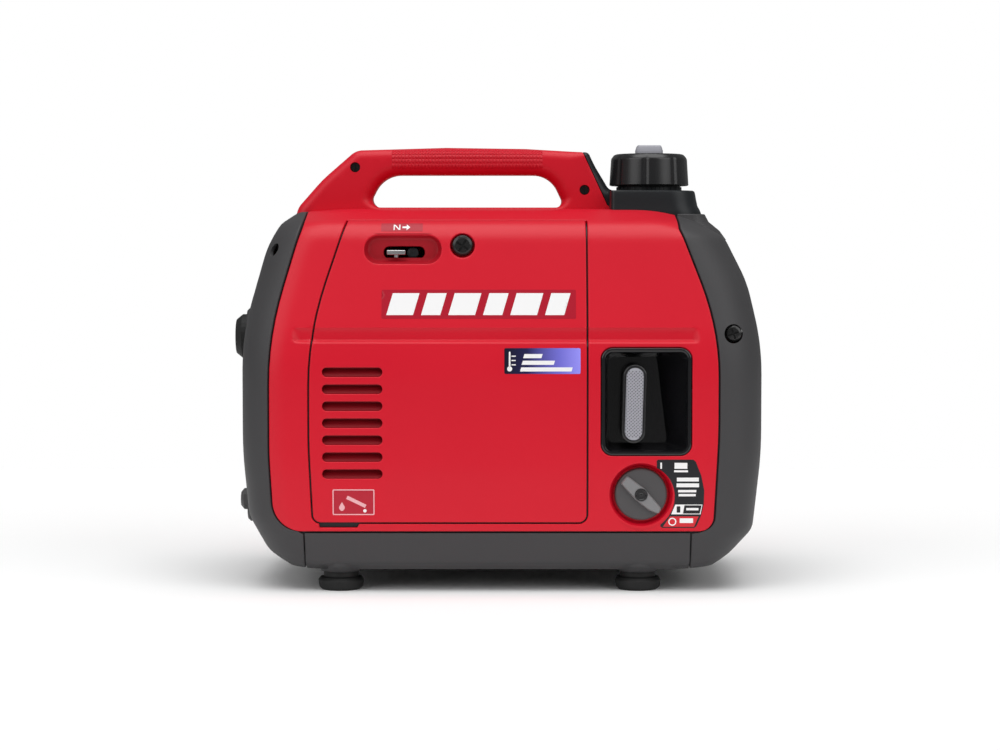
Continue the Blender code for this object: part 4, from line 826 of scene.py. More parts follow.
class GENERATOR_OT_finishes(bpy.types.Operator):
    """Makes every material"""

    bl_idname = "generator.finishes"
    bl_label = "Materials"

    def execute(self, context):
        chosen = context.scene.generator_finishes
        grained("red", tuple(chosen.red), 0.40, 1500.0, 0.00006, 0.03, 0.05)
        knurled("red_grip", tuple(chosen.red), 0.44)
        # a darker copy of the red: painted shade for the inside of the choke recess
        grained("red_recess_shade", tuple(c * 0.62 for c in chosen.red), 0.5, 1200.0, 0.00005)
        # a much darker copy of the red: painted shade for the slats behind the cooling slots
        grained("red_slot_shade", tuple(c * 0.34 for c in chosen.red), 0.5, 1200.0, 0.00005)
        grained("grey", tuple(chosen.grey), 0.52, 1300.0, 0.00012, 0.05, 0.06)
        grained("black", tuple(chosen.black), 0.42, 1300.0, 0.00008)
        grained("knob", (0.070, 0.068, 0.070), 0.5, 1300.0, 0.0001)
        grained("gloss", (0.006, 0.006, 0.007), 0.13, 300.0, 0.00002, 0.02, 0.03)
        grained("cap", (0.011, 0.011, 0.012), 0.26, 700.0, 0.00004)
        grained("screw", (0.010, 0.010, 0.010), 0.25, 500.0, 0.00004)
        grained("silver", (0.36, 0.36, 0.40), 0.48, 900.0, 0.00006)
        grained("pointer", (0.20, 0.20, 0.205), 0.42, 900.0, 0.00006)
        grained("rubber", (0.010, 0.010, 0.010), 0.62, 700.0, 0.00014, 0.12)
        grained("orange", (0.75, 0.20, 0.02), 0.4, 900.0, 0.00006)
        grained("green", (0.03, 0.22, 0.08), 0.35, 500.0, 0.00005, Metallic=0.6)
        grained("lens", (0.02, 0.02, 0.025), 0.08, 400.0, 0.00001)
        metal("steel", (0.60, 0.60, 0.61), 0.30)
        metal("alloy", (0.55, 0.55, 0.56), 0.48, (30, 30, 30))
        metal("iron", (0.26, 0.26, 0.27), 0.45)
        metal("windings", (0.55, 0.26, 0.12), 0.4, (260, 4, 260))
        ink("white_ink", (0.86, 0.86, 0.86))
        ink("pink_ink", (0.80, 0.42, 0.45))
        ink("maroon_ink", (0.40, 0.004, 0.020))
        ink("dark_red_ink", (0.44, 0.012, 0.030))
        ink("label_black", (0.012, 0.013, 0.016))
        ink("warning_red", (0.62, 0.020, 0.030))
        ink("dark_mark", (0.045, 0.045, 0.050), 0.5)
        # a film that turns from night blue to violet along the label
        _, nodes, shader = new_finish("violet_ink", (0.2, 0.2, 0.8), 0.3)
        place = nodes.add("ShaderNodeTexCoord", output="Object")
        split = nodes.make("ShaderNodeSeparateXYZ", None, place)
        share = (Sock(nodes, split.outputs[0]) - LABEL_X[0]) / (LABEL_X[1] - LABEL_X[0])
        stops = [
            (0.0, (0.002, 0.002, 0.012, 1)), (0.30, (0.010, 0.010, 0.07, 1)),
            (0.72, (0.16, 0.15, 0.62, 1)), (1.0, (0.30, 0.28, 0.90, 1)),
        ]
        tint = nodes.add("ShaderNodeValToRGB", {"stops": stops}, share)
        nodes.tree.links.new(tint.socket, shader.inputs["Base Color"])
        return {"FINISHED"}


LABEL_X = 0.0079, 0.0790


# ---------------------------------------------------------------- the case panels
VENT_COUNT, VENT_PITCH, VENT_LENGTH, VENT_HEIGHT = 7, 0.0159, 0.0556, 0.0072
VENT_X, VENT_LOWEST = X_FRONT + 0.1103, 0.1127
CHOKE_AT, CHOKE_POCKET = (-0.0875, Z_SHOULDER - 0.0395), (0.0726, 0.0270)
CHOKE_SLOT = 0.0390, 0.0116
SCREW_AT, SCREW_RADIUS = (-0.0315, Z_SHOULDER - 0.036), 0.0103
BEZEL_AT, BEZEL_SIZE = (X_REAR - 0.1154, 0.1804), (0.085, 0.101)
SWITCH_AT, SWITCH_RADIUS, DISH_RADIUS = (X_REAR - 0.1201, 0.0933), 0.0241, 0.0295
GROOVE = 0.2345, 0.2393, 0.2490
GROOVE_ENDS, GROOVE_RUN_OUT = (-0.190, 0.190), 0.005
# sizes of the black sheets that paint the shade behind the seams
SHADE_SHEET_PITCH, SHADE_SHEET_EDGE, SHADE_SHEET_WALL = 0.008, 0.0002, 0.0012


def groove(points):
    """How deep the channel round the side is at unrolled points."""
    sizes = bpy.context.scene.generator_sizes
    low, deep, high = Side.up(np.array(GROOVE))
    rise = np.clip((points[:, 1] - low) / (deep - low), 0, 1)
    fall = np.clip((high - points[:, 1]) / (high - deep), 0, 1)
    shape = rise * rise * (3 - 2 * rise) * np.sqrt(fall)
    ends = np.clip((points[:, 0] - GROOVE_ENDS[0]) / GROOVE_RUN_OUT, 0, 1)
    ends = ends * np.clip((GROOVE_ENDS[1] - points[:, 0]) / GROOVE_RUN_OUT, 0, 1)
    return sizes.groove * shape * ends * ends * (3 - 2 * ends)


def groove_rows():
    """The levels at which the panels need points to follow the channel."""
    low, deep, high = Side.up(np.array(GROOVE))
    shares = (-0.15, 0.0, 0.14, 0.30, 0.5, 0.7, 0.86, 1.0)
    wall = [low + (deep - low) * share for share in shares]
    floor = deep + 0.0030, deep + 0.0060
    ceiling = high - 0.0016, high - 0.0003, high + 0.0004
    return [round(float(v), 6) for v in (*wall, *floor, *ceiling)]


def vent_outlines():
    """The cooling slots' outlines, in X and Z."""
    levels = [VENT_LOWEST + k * VENT_PITCH for k in range(VENT_COUNT)]
    return [stadium((VENT_X, z), VENT_LENGTH + 0.0006, VENT_HEIGHT + 0.0016) for z in levels]


def wall_at(z):
    """How far the side stands from the middle plane at a height."""
    return float(np.interp(z, SIDE_LINE[:, 1], SIDE_LINE[:, 0]))


def wall_slope(z):
    """How fast the side leans in at a height."""
    return (wall_at(z - 0.01) - wall_at(z + 0.01)) / 0.02


def bezel_outline(extra=0.0):
    """The starter bezel's outline, in X and Z."""
    half = BEZEL_SIZE[0] / 2 + extra, BEZEL_SIZE[1] / 2 + extra
    low = BEZEL_AT[0] - half[0], BEZEL_AT[1] - half[1]
    return box_outline(low, (BEZEL_AT[0] + half[0], BEZEL_AT[1] + half[1]), 0.011 + extra)


class GENERATOR_OT_side_panels(bpy.types.Operator):
    """Makes the red side panels round the maintenance cover and on the far side"""

    bl_idname = "generator.side_panels"
    bl_label = "Side panels"

    def execute(self, context):
        sizes = context.scene.generator_sizes
        near, far = Side(-1), Side(1)
        top = Side.over(0.0006)
        outline = clipped(red_region(), top)
        cover = clipped(cover_region(), Side.over(COVER_LIP))
        low_edge = Side.up(COVER_SILL) + 0.0004
        notched = cover.copy()
        in_notch = (cover[:, 1] < low_edge) & (cover[:, 0] > X_FRONT + 0.0790) & (cover[:, 0] < X_FRONT + 0.1150)
        notched[in_notch, 1] -= 0.0034
        holes = [notched, Side.unrolled(bezel_outline(0.0002)), Side.unrolled(circle(SWITCH_AT, DISH_RADIUS, 56))]
        skin_panel("side_panel_near", near.skin, 1, outline, holes, "red", sizes.pitch, sizes.edge, sizes.wall, groove,
                   groove_rows(), stands_for="left_side_cover")
        holes = [Side.unrolled(v) for v in vent_outlines()]
        skin_panel("side_panel_far", far.skin, -1, outline, holes, "red", sizes.pitch, sizes.edge, sizes.wall, groove,
                   groove_rows(), stands_for="right_side_cover")
        # black sheets behind the seams: painted shade in the gaps between the panels
        def shade_sheet(name, skin, hand, seam, outwards, inwards):
            seam = turned_left(seam)
            skin_panel(name, skin, hand, shifted(seam, -outwards), [shifted(seam, inwards)], "black", SHADE_SHEET_PITCH,
                       SHADE_SHEET_EDGE, SHADE_SHEET_WALL, groove, lift=-sizes.wall - 0.0003, arcs=1)

        shade_sheet("edge_seam_shade_near", near.skin, 1, outline, 0.0050, 0.0060)
        shade_sheet("edge_seam_shade_far", far.skin, -1, outline, 0.0050, 0.0060)
        shade_sheet("cover_seam_shade", near.skin, 1, cover, 0.0055, 0.0050)
        return {"FINISHED"}


SLAT = (
    (0.0000, -0.0052), (0.0074, 0.0026), (0.0074, 0.0052), (0.0010, 0.0052),
    (0.0010, 0.0040), (0.0060, 0.0038), (0.0060, 0.0030), (0.0, -0.0034),
)


class GENERATOR_OT_maintenance_cover(bpy.types.Operator):
    """Makes the maintenance cover with its cooling slots, choke recess and screw seat"""

    bl_idname = "generator.maintenance_cover"
    bl_label = "Maintenance cover"

    def execute(self, context):
        sizes = context.scene.generator_sizes
        side = Side(-1)
        outline = clipped(cover_region(), Side.over(COVER_LIP))
        outline = shifted(turned_left(outline), SEAM * 1.6)
        holes = [Side.unrolled(v) for v in vent_outlines()]
        holes.append(Side.unrolled(stadium(CHOKE_AT, *CHOKE_POCKET)))
        holes.append(Side.unrolled(circle(SCREW_AT, SCREW_RADIUS + 0.0014, 40)))
        skin_panel("cover_panel", side.skin, 1, outline, holes, "red", sizes.pitch, sizes.edge, sizes.wall, groove,
                   groove_rows(), body="maintenance_cover", stands_for="maintenance_cover")
        # a ledge and a leaning slat behind each slot, in a much darker copy of the red that paints the shade inside the
        # slots
        for k in range(VENT_COUNT):
            z = VENT_LOWEST + k * VENT_PITCH
            y = -wall_at(z) + sizes.wall - 0.0006
            half = VENT_LENGTH / 2 + 0.0025
            rings = [[Vector((x, y + deep, z + level)) for deep, level in SLAT] for x in (VENT_X - half, VENT_X + half)]
            loft(f"cover_slat_{k + 1}", rings, "red_slot_shade", body="maintenance_cover")
        # the choke recess: a tub with leaning walls and a slot in its floor, in a darker copy of the red that paints
        # the shade inside it
        wall = -wall_at(CHOKE_AT[1])
        lean = wall_slope(CHOKE_AT[1])
        place = facing((0, wall, 0))

        def tub_ring(outline, depth):
            """A ring that leans with the wall at the recess's mouth and stands upright at its floor."""
            share = lean * max(0.0, 1 - depth / 0.009)
            return [place @ Vector((u, v, -depth - (v - CHOKE_AT[1]) * share)) for u, v in outline]

        outer = stadium(CHOKE_AT, *CHOKE_POCKET)
        slot_at = CHOKE_AT[0] + 0.001, CHOKE_AT[1] - 0.003
        slot = stadium(slot_at, *CHOKE_SLOT)
        rings = [
            tub_ring(shifted(outer, -0.0016), 0.0016), tub_ring(shifted(outer, -0.0002), 0.0016),
            tub_ring(shifted(outer, 0.0012), 0.0045), tub_ring(shifted(outer, 0.0026), 0.0078),
            tub_ring(shifted(outer, 0.0038), 0.0088), tub_ring(shifted(outer, 0.0055), 0.0090),
            tub_ring(shifted(slot, -0.0004), 0.0090), tub_ring(slot, 0.0094), tub_ring(slot, 0.0115),
            tub_ring(shifted(slot, -0.002), 0.0115), tub_ring(shifted(outer, 0.0015), 0.0112),
            tub_ring(shifted(outer, -0.0016), 0.0075),
        ]
        loft("choke_recess", rings, "red_recess_shade", hollow=True, body="maintenance_cover")
        # the screw's seat: a cup that leans with the wall, round a head that stands square to its level axis
        seat = -wall_at(SCREW_AT[1])
        profile = softened([
            (0.0042, -0.0090, 0), (SCREW_RADIUS + 0.0008, -0.0090, 0.0005), (SCREW_RADIUS + 0.0014, 0.0002, 0.0006),
            (SCREW_RADIUS + 0.0026, -0.0014, 0.0004), (SCREW_RADIUS + 0.0022, -0.0110, 0), (0.0042, -0.0110, 0),
        ])
        leaning = Matrix(((1, 0, 0, 0), (0, 1, 0, 0), (0, -lean, 1, 0), (0, 0, 0, 1)))
        place = facing((SCREW_AT[0], seat + 0.0005, SCREW_AT[1])) @ leaning
        lathe("screw_seat", profile, place, "red", body="maintenance_cover")
        return {"FINISHED"}


def end_region(end, line_x, seam_x, bottom_z):
    """An end cover's outline, unrolled: out to the red sides above the sill, and to the under cover below it."""
    corners = end.way[np.diff(end.way, prepend=-1) > 0.0005]
    ways = np.unique(np.concatenate([np.linspace(0, end.way[-1], 260), corners]))
    rows = []
    for v in ways:
        z = float(np.interp(v, end.way, end.line[:, 1]))
        tip = float(np.interp(v, end.way, end.line[:, 0]))
        limit = seam_x if z < bottom_z else line_x(z)
        if (limit - tip) * end.inwards <= 0.0006:
            rows.append((0.0, v))
            break
        rows.append((end.reach(v, limit), v))
    left = [(-u, v) for u, v in reversed(rows) if u > 0.0005]
    return evenly(rows + left, 0.0025)


def region_edge(outline, front):
    """X on a region's front or rear edge as a function of height."""
    points = np.array([tuple(p) for p in outline])
    middle = (points[:, 0].min() + points[:, 0].max()) / 2
    side = points[(points[:, 0] < middle) == front]
    side = side[np.argsort(side[:, 1], kind="stable")]
    return lambda z: float(np.interp(z, side[:, 1], side[:, 0]))


FRONT_SCREW_ANGLE, FRONT_SCREW_RADIUS, REAR_SCREW_RADIUS = radians(55), 0.0062, 0.0090


def end_screws():
    """(name, point, direction, radius) of the screws in the end covers."""
    places = []
    for hand, label in ((-1, "left"), (1, "right")):
        for end in ("front", "rear"):
            low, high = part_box(f"{end}_cover_screw_{label}")
            out, radius = Vector((0, hand, 0)), REAR_SCREW_RADIUS
            if end == "front":
                out = Vector((-sin(FRONT_SCREW_ANGLE), hand * cos(FRONT_SCREW_ANGLE), 0))
                radius = FRONT_SCREW_RADIUS
            places.append((f"{end}_cover_screw_{label}", (low + high) / 2, out, radius))
    return places


def screw_cutters(end):
    """Cutters for the wells of one end cover's screws."""
    return [
        cutter(circle((0, 0), radius, 32), towards(middle, out), -0.006, 0.03)
        for name, middle, out, radius in end_screws() if name.startswith(end)
    ]


def cut_away(obj, *tools):
    """Cuts tools out of a mesh object, and removes them."""
    for tool in tools:
        modifier = obj.modifiers.new("cut", "BOOLEAN")
        modifier.object = tool
        modifier.operation = "DIFFERENCE"
    for modifier in [m for m in obj.modifiers if m.name.startswith("weighted")]:
        obj.modifiers.remove(modifier)
    settled(obj)
    for tool in tools:
        bpy.data.objects.remove(tool)
    smoothed(obj)
    return obj


def settled(obj, place=None):
    """Turns an object's modifiers into a plain mesh, moved to a frame."""
    bpy.context.view_layer.update()
    mesh = bpy.data.meshes.new_from_object(obj.evaluated_get(bpy.context.evaluated_depsgraph_get()))
    obj.modifiers.clear()
    obj.data = mesh
    if place is not None:
        mesh.transform(place)
    return obj


def cutter(outline, place, low, high):
    """A plain prism used as a cutter."""
    return ringed("cutter", [[place @ Vector((u, v, w)) for u, v in outline] for w in (low, high)])


PANEL_HALF_WIDTH, PANEL_BOTTOM, PANEL_TOP = 0.088, 0.0635, Z_SHOULDER - 0.098
LOUVRE, LOUVRE_COUNT, LOUVRE_LOWEST, LOUVRE_PITCH = (0.150, 0.0065), 8, 0.140, 0.0145
UNDER_FRONT, UNDER_REAR = 0.064, 0.0725
BOSS_LEVELS = 0.0176, 0.0215, 0.0260, 0.0330, 0.0480
BOSS_STRETCH = 1.04, 1.22, 1.39, 1.49, 1.52


class GENERATOR_OT_end_covers(bpy.types.Operator):
    """Makes the grey covers at the control end and the exhaust end"""

    bl_idname = "generator.end_covers"
    bl_label = "End covers"

    def execute(self, context):
        sizes = context.scene.generator_sizes
        front = End(FRONT_LINE, 1)
        line = region_edge(red_region(), True)
        outline = end_region(front, lambda z: line(z) - COVER_GAP, X_FRONT + UNDER_FRONT, Z_SILL - COVER_GAP)
        cover = skin_panel("front_end_cover", front.skin, -1, outline, [], "grey", sizes.pitch, sizes.edge, sizes.wall,
                           stands_for="front_cover")
        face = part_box("control_panel")[0].x
        opening = box_outline((-PANEL_HALF_WIDTH, PANEL_BOTTOM), (PANEL_HALF_WIDTH, PANEL_TOP), 0.014)
        cut_away(cover, cutter(opening, facing((0, 0, 0), "-X"), -face - 0.03, 0.3), *screw_cutters("front"))
        # the wall round the control panel
        place = facing((0, 0, 0), "-X")
        steps = (
            (-0.0024, face), (-0.0024, X_FRONT + 0.0085), (-0.0004, X_FRONT + 0.0062),
            (0.0012, X_FRONT + 0.0075), (0.0016, face),
        )
        rings = [[place @ Vector((u, v, -x)) for u, v in shifted(opening, inset)] for inset, x in steps]
        loft("control_panel_frame", rings, "grey", hollow=True)
        rear = End(REAR_LINE, -1)
        edge = region_edge(red_region(), False)
        outline = end_region(rear, lambda z: edge(z) + COVER_GAP, X_REAR - UNDER_REAR, Z_SILL - COVER_GAP)
        cover = skin_panel("rear_end_cover", rear.skin, 1, outline, [], "grey", sizes.pitch, sizes.edge, sizes.wall,
                           stands_for="rear_cover")
        # air louvres, and the exhaust's round opening
        behind = facing((0, 0, 0), "+X")
        tools = [
            cutter(stadium((0, LOUVRE_LOWEST + k * LOUVRE_PITCH), *LOUVRE), behind, X_REAR - 0.04, 0.3)
            for k in range(LOUVRE_COUNT)
        ]
        low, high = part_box("exhaust_outlet")
        middle = (low + high) / 2
        tools.append(cutter(circle((middle.y, middle.z), 0.024, 40), behind, X_REAR - 0.04, 0.3))
        cut_away(cover, *tools, *screw_cutters("rear"))
        return {"FINISHED"}


class GENERATOR_OT_under_cover(bpy.types.Operator):
    """Makes the grey under cover with its bosses, and the rubber feet"""

    bl_idname = "generator.under_cover"
    bl_label = "Under cover and feet"

    def execute(self, context):
        wall = context.scene.generator_sizes.wall
        low, high = X_FRONT + UNDER_FRONT + COVER_GAP * 0.7, X_REAR - UNDER_REAR - COVER_GAP * 0.7
        top = Z_SILL - COVER_GAP
        levels = np.array([*[p[1] for p in SIDE_LINE if p[1] < top], top])

        def section(x, sunk, thick):
            """A U-shaped slice of the case's floor and lower sides, sunk under the skin."""
            outer = half_at(x, levels) - sunk
            floor = np.maximum(levels, Z_FLOOR + sunk)
            inner, floor_in = outer - thick, np.maximum(levels, Z_FLOOR + sunk + thick)
            right = list(zip(outer, floor))
            back = list(zip(inner, floor_in))[::-1]
            ring = [(-y, z) for y, z in reversed(right)] + right + back + [(-y, z) for y, z in reversed(back)]
            return [Vector((x, y, z)) for y, z in ring]

        slices = [section(x, 0.0, wall) for x in np.linspace(low, high, 40)]
        cover = loft("under_cover_shell", slices, "grey", stands_for="under_cover")
        # black sheets behind the under cover's seams to the end covers: painted shade in the gaps
        for x, label in ((X_FRONT + UNDER_FRONT, "front"), (X_REAR - UNDER_REAR, "rear")):
            slices = [section(x + off, wall + 0.0005, SHADE_SHEET_WALL) for off in np.linspace(-0.005, 0.005, 5)]
            loft(f"under_seam_shade_{label}", slices, "black")
        bevel = cover.modifiers.new("bevel", "BEVEL")
        bevel.width, bevel.segments, bevel.limit_method, bevel.angle_limit = 0.0009, 3, "ANGLE", radians(40)
        cover.modifiers.move(1, 0)
        for label in ("front_left", "front_right", "rear_left", "rear_right"):
            foot_low, foot_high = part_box(f"foot_{label}")
            x, y = (foot_low.x + foot_high.x) / 2, (foot_low.y + foot_high.y) / 2
            radius = (foot_high.x - foot_low.x) / 2
            profile = softened([
                (0, 0, 0), (radius * 0.84, 0, 0.0008), (radius - 0.0010, 0.0024, 0.0016), (radius, 0.0090, 0.0022),
                (radius * 0.90, 0.0118, 0.0012), (0.0168, 0.0126, 0.0008), (0.0164, 0.0185, 0), (0, 0.0185, 0),
            ])
            place = facing((x, y, 0), "+Z")
            lathe(f"foot_pad_{label}", profile, place, "rubber", stands_for=f"foot_{label}")
            boss = softened([
                (0, 0.0176, 0), (0.0190, 0.0176, 0.0015), (0.0206, 0.0240, 0.004), (0.0212, 0.0480, 0.001),
                (0, 0.0480, 0),
            ])

            def bulged(r, height, angle):
                stretch = float(np.interp(height, BOSS_LEVELS, BOSS_STRETCH))
                return r / hypot(cos(angle), sin(angle) / stretch)

            lathe(f"foot_boss_{label}", boss, place, "grey", shape=bulged)
        return {"FINISHED"}


# ---------------------------------------------------------------- handle and filler surround
HANDLE_REAR = 0.114
HANDLE_DEPTH = 0.0195
HANDLE_LEAST_EDGE, OPENING_SHARE = 0.0042, 1.35
HANDLE_SCREW_RADIUS = 0.0050
PLATFORM_TOP = HEIGHT - 0.0455


def handle_pieces():
    """The outline of handle and fairing together, the opening, and the fairing's own region."""
    root = Z_SHOULDER - 0.016
    whole = rounded([
        (X_FRONT + 0.0480, root, 0), (HANDLE_REAR + 0.016, root, 0),
        (HANDLE_REAR + 0.0065, PLATFORM_TOP + 0.0005, 0.010), (HANDLE_REAR - 0.0030, PLATFORM_TOP + 0.0015, 0.008),
        (HANDLE_REAR - 0.0172, Z_HANDLE - 0.0174, 0.06), (HANDLE_REAR - 0.0235, Z_HANDLE - 0.0046, 0.005),
        (-0.010, Z_HANDLE + 0.0012, 0.9), (X_FRONT + 0.1069, Z_HANDLE - 0.0025, 0.018),
        (X_FRONT + 0.0740, Z_HANDLE - 0.0310, 0.12), (X_FRONT + 0.0480, Z_SHOULDER - 0.0005, 0.02),
    ])
    top, bottom = Z_HANDLE - 0.0268, Z_SHOULDER + 0.0015
    opening = rounded([
        (X_FRONT + 0.1344, top, 0.028), (X_FRONT + 0.1179, bottom, 0.008),
        (HANDLE_REAR - 0.0460, bottom, 0.006), (HANDLE_REAR - 0.0610, top, 0.026),
    ])
    seam = [
        (HANDLE_REAR + 0.0035, Z_SHOULDER - 0.03), (HANDLE_REAR - 0.0002, Z_SHOULDER + 0.0005),
        (HANDLE_REAR - 0.0052, Z_SHOULDER + 0.0042), (HANDLE_REAR - 0.0294, Z_HANDLE - 0.0040),
        (HANDLE_REAR - 0.0320, Z_HANDLE + 0.01),
    ]
    return whole, opening, seam


def upright(depth, hand):
    """A flat skin at one side of the handle."""
    return lambda u, v: np.stack([u, np.full(len(u), hand * depth), v], axis=1)


class GENERATOR_OT_handle(bpy.types.Operator):
    """Makes the carrying handle in two halves, and the black fairing that closes its rear end"""

    bl_idname = "generator.handle"
    bl_label = "Handle"

    def execute(self, context):
        round_edge = context.scene.generator_sizes.handle_edge
        whole, opening, seam = handle_pieces()

        def rounding(points):
            """The edge radius: full along the handle, small at its rear corner and at the roots."""
            corner = np.hypot(points[:, 0] - (HANDLE_REAR - 0.0235), points[:, 1] - (Z_HANDLE - 0.0046))
            radius = np.clip(HANDLE_LEAST_EDGE + corner * 0.28, HANDLE_LEAST_EDGE, round_edge)
            if points[:, 1].min() > Z_SHOULDER:
                levels = Z_SHOULDER + 0.0015, Z_SHOULDER + 0.0090
                radius = np.interp(points[:, 1], levels, (0.0030, round_edge * OPENING_SHARE))
            return np.where(points[:, 1] < Z_SHOULDER - 0.010, 0.001, radius)

        flat, above, below = facing((0, 0, 0)), Z_HANDLE + 0.01, Z_SHOULDER - 0.03
        screws = [sum(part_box(f"handle_screw_{name}"), Vector()) / 2 for name in ("front", "rear")]
        halves = {
            label: skin_panel(
                f"handle_half_{label}", upright(HANDLE_DEPTH, hand), -hand, evenly(whole, 0.0025),
                [evenly(opening, 0.0025)], "red", 0.006, rounding, HANDLE_DEPTH - 0.0002, arcs=8,
            )
            for hand, label in ((-1, "near"), (1, "far"))
        }
        for label, half in halves.items():
            fairing = half.copy()
            fairing.data = half.data.copy()
            fairing.name = f"handle_fairing_{label}"
            context.scene.collection.objects.link(fairing)
            cut_away(half, cutter([*seam, (0.3, above), (0.3, below)], flat, -0.1, 0.1))
            line = [(x + 0.0009, z) for x, z in reversed(seam)]
            cut_away(fairing, cutter([*line, (-0.4, below), (-0.4, above)], flat, -0.1, 0.1))
            fairing.data.materials.clear()
            fairing.data.materials.append(FINISHES["black"])
            half.data.materials[0] = FINISHES["red_grip"]
            if label == "near":
                wells = [circle((at.x, at.z), HANDLE_SCREW_RADIUS, 28) for at in screws]
                cut_away(half, *[cutter(well, flat, 0.011, 0.04) for well in wells])
        return {"FINISHED"}


class GENERATOR_OT_filler_surround(bpy.types.Operator):
    """Makes the black platform round the fuel filler"""

    bl_idname = "generator.filler_surround"
    bl_label = "Filler surround"

    def execute(self, context):
        def tapered(name, start, corners, levels, finish, **ride):
            """A body round the filler, through (right end, half width, depth under the top) levels."""
            rings = []
            for right, half, deep in levels:
                near, far = corners
                corners_at = (start, -half, near), (right, -half, far), (right, half, far), (start, half, near)
                outline = rounded(corners_at, radians(7))
                rings.append([Vector((x, y, PLATFORM_TOP - deep)) for x, y in outline])
            loft(name, rings, finish, **ride)

        tapered("filler_platform", HANDLE_REAR - 0.0030, (0.004, 0.026), (
            (0.2010, 0.0612, 0.0330), (0.1998, 0.0608, 0.0225), (0.1985, 0.0603, 0.0190), (0.1963, 0.0596, 0.0150),
            (0.1950, 0.0590, 0.0090), (0.1940, 0.0586, 0.0030), (0.1934, 0.0580, 0.0010), (0.1920, 0.0566, 0),
            (0.1880, 0.0530, 0),
        ), "black", stands_for="filler_surround")
        tapered("rear_collar", 0.1745, (0.001, 0.027), (
            (0.2230, 0.0720, 0.0480), (0.2165, 0.0690, 0.0390), (0.2110, 0.0662, 0.0345), (0.2060, 0.0645, 0.0305),
            (0.2035, 0.0636, 0.0260), (0.2024, 0.0632, 0.0236), (0.2014, 0.0625, 0.0230),
        ), "grey")
        return {"FINISHED"}


# ---------------------------------------------------------------- fuel cap
class GENERATOR_OT_fuel_cap(bpy.types.Operator):
    """Makes the lobed fuel cap, its vent lever and the ribbed collar under it"""

    bl_idname = "generator.fuel_cap"
    bl_label = "Fuel cap"

    def execute(self, context):
        low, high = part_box("fuel_cap")
        centre = Vector(((low.x + high.x) / 2, 0, low.z))
        radius, tall = (high.x - low.x) / 2, high.z - low.z
        profile = softened([
            (0, tall - 0.0010, 0), (radius - 0.0120, tall - 0.0006, 0.010),
            (radius - 0.0052, tall - 0.0002, 0.006), (radius - 0.0016, tall - 0.0050, 0.0050),
            (radius, 0.0006, 0.0006), (radius - 0.0012, 0, 0.0004), (0.0330, 0, 0.0004), (0.0325, 0.0180, 0),
            (0, 0.0180, 0),
        ], radians(10))

        def lobed(r, height, angle):
            """Eight shallow valleys down the cap's wall."""
            if r < 0.0335:
                return r
            wave = abs(sin(4 * angle + 0.55))
            dip = max(0.0, 1 - wave / 0.34)
            return r - 0.0012 * dip * dip * (3 - 2 * dip) * min(1.0, max(0.0, (r - 0.0335) / 0.004))

        lathe("fuel_cap_body", profile, facing(centre, "+Z"), "cap", 160, lobed, body="fuel_cap", stands_for="fuel_cap")
        lever_low, lever_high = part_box("vent_lever")
        middle = (lever_low + lever_high) / 2
        half = (lever_high.x - lever_low.x) / 2, (lever_high.y - lever_low.y) / 2
        height = lever_high.z - lever_low.z
        outline = box_outline((-half[0], -half[1]), half, 0.004, radians(12))
        place = facing((middle.x, middle.y, lever_low.z), "+Z")
        steps = (
            (0.0002, 0), (0, 0.0005), (0, 0.0028), (0.0012, height - 0.0016), (0.0018, height - 0.0006),
            (0.0026, height),
        )
        stack("vent_lever_grip", outline, place, steps, "silver", body="vent_lever", stands_for="vent_lever")
        collar = softened([
            (0.0295, centre.z - 0.012, 0), (0.0322, centre.z - 0.012, 0),
            (0.0322, centre.z - 0.0012, 0.0004), (0.0295, centre.z - 0.0012, 0),
        ])

        def ribbed(r, height, angle):
            """Upright ribs round the collar."""
            return r - (0.0011 if sin(24 * angle) > 0 else 0.0) if r > 0.031 else r

        lathe("filler_collar", collar, facing((centre.x, 0, 0), "+Z"), "black", 192, ribbed)
        return {"FINISHED"}


# ---------------------------------------------------------------- starter
ROPE_RADIUS = 0.00225


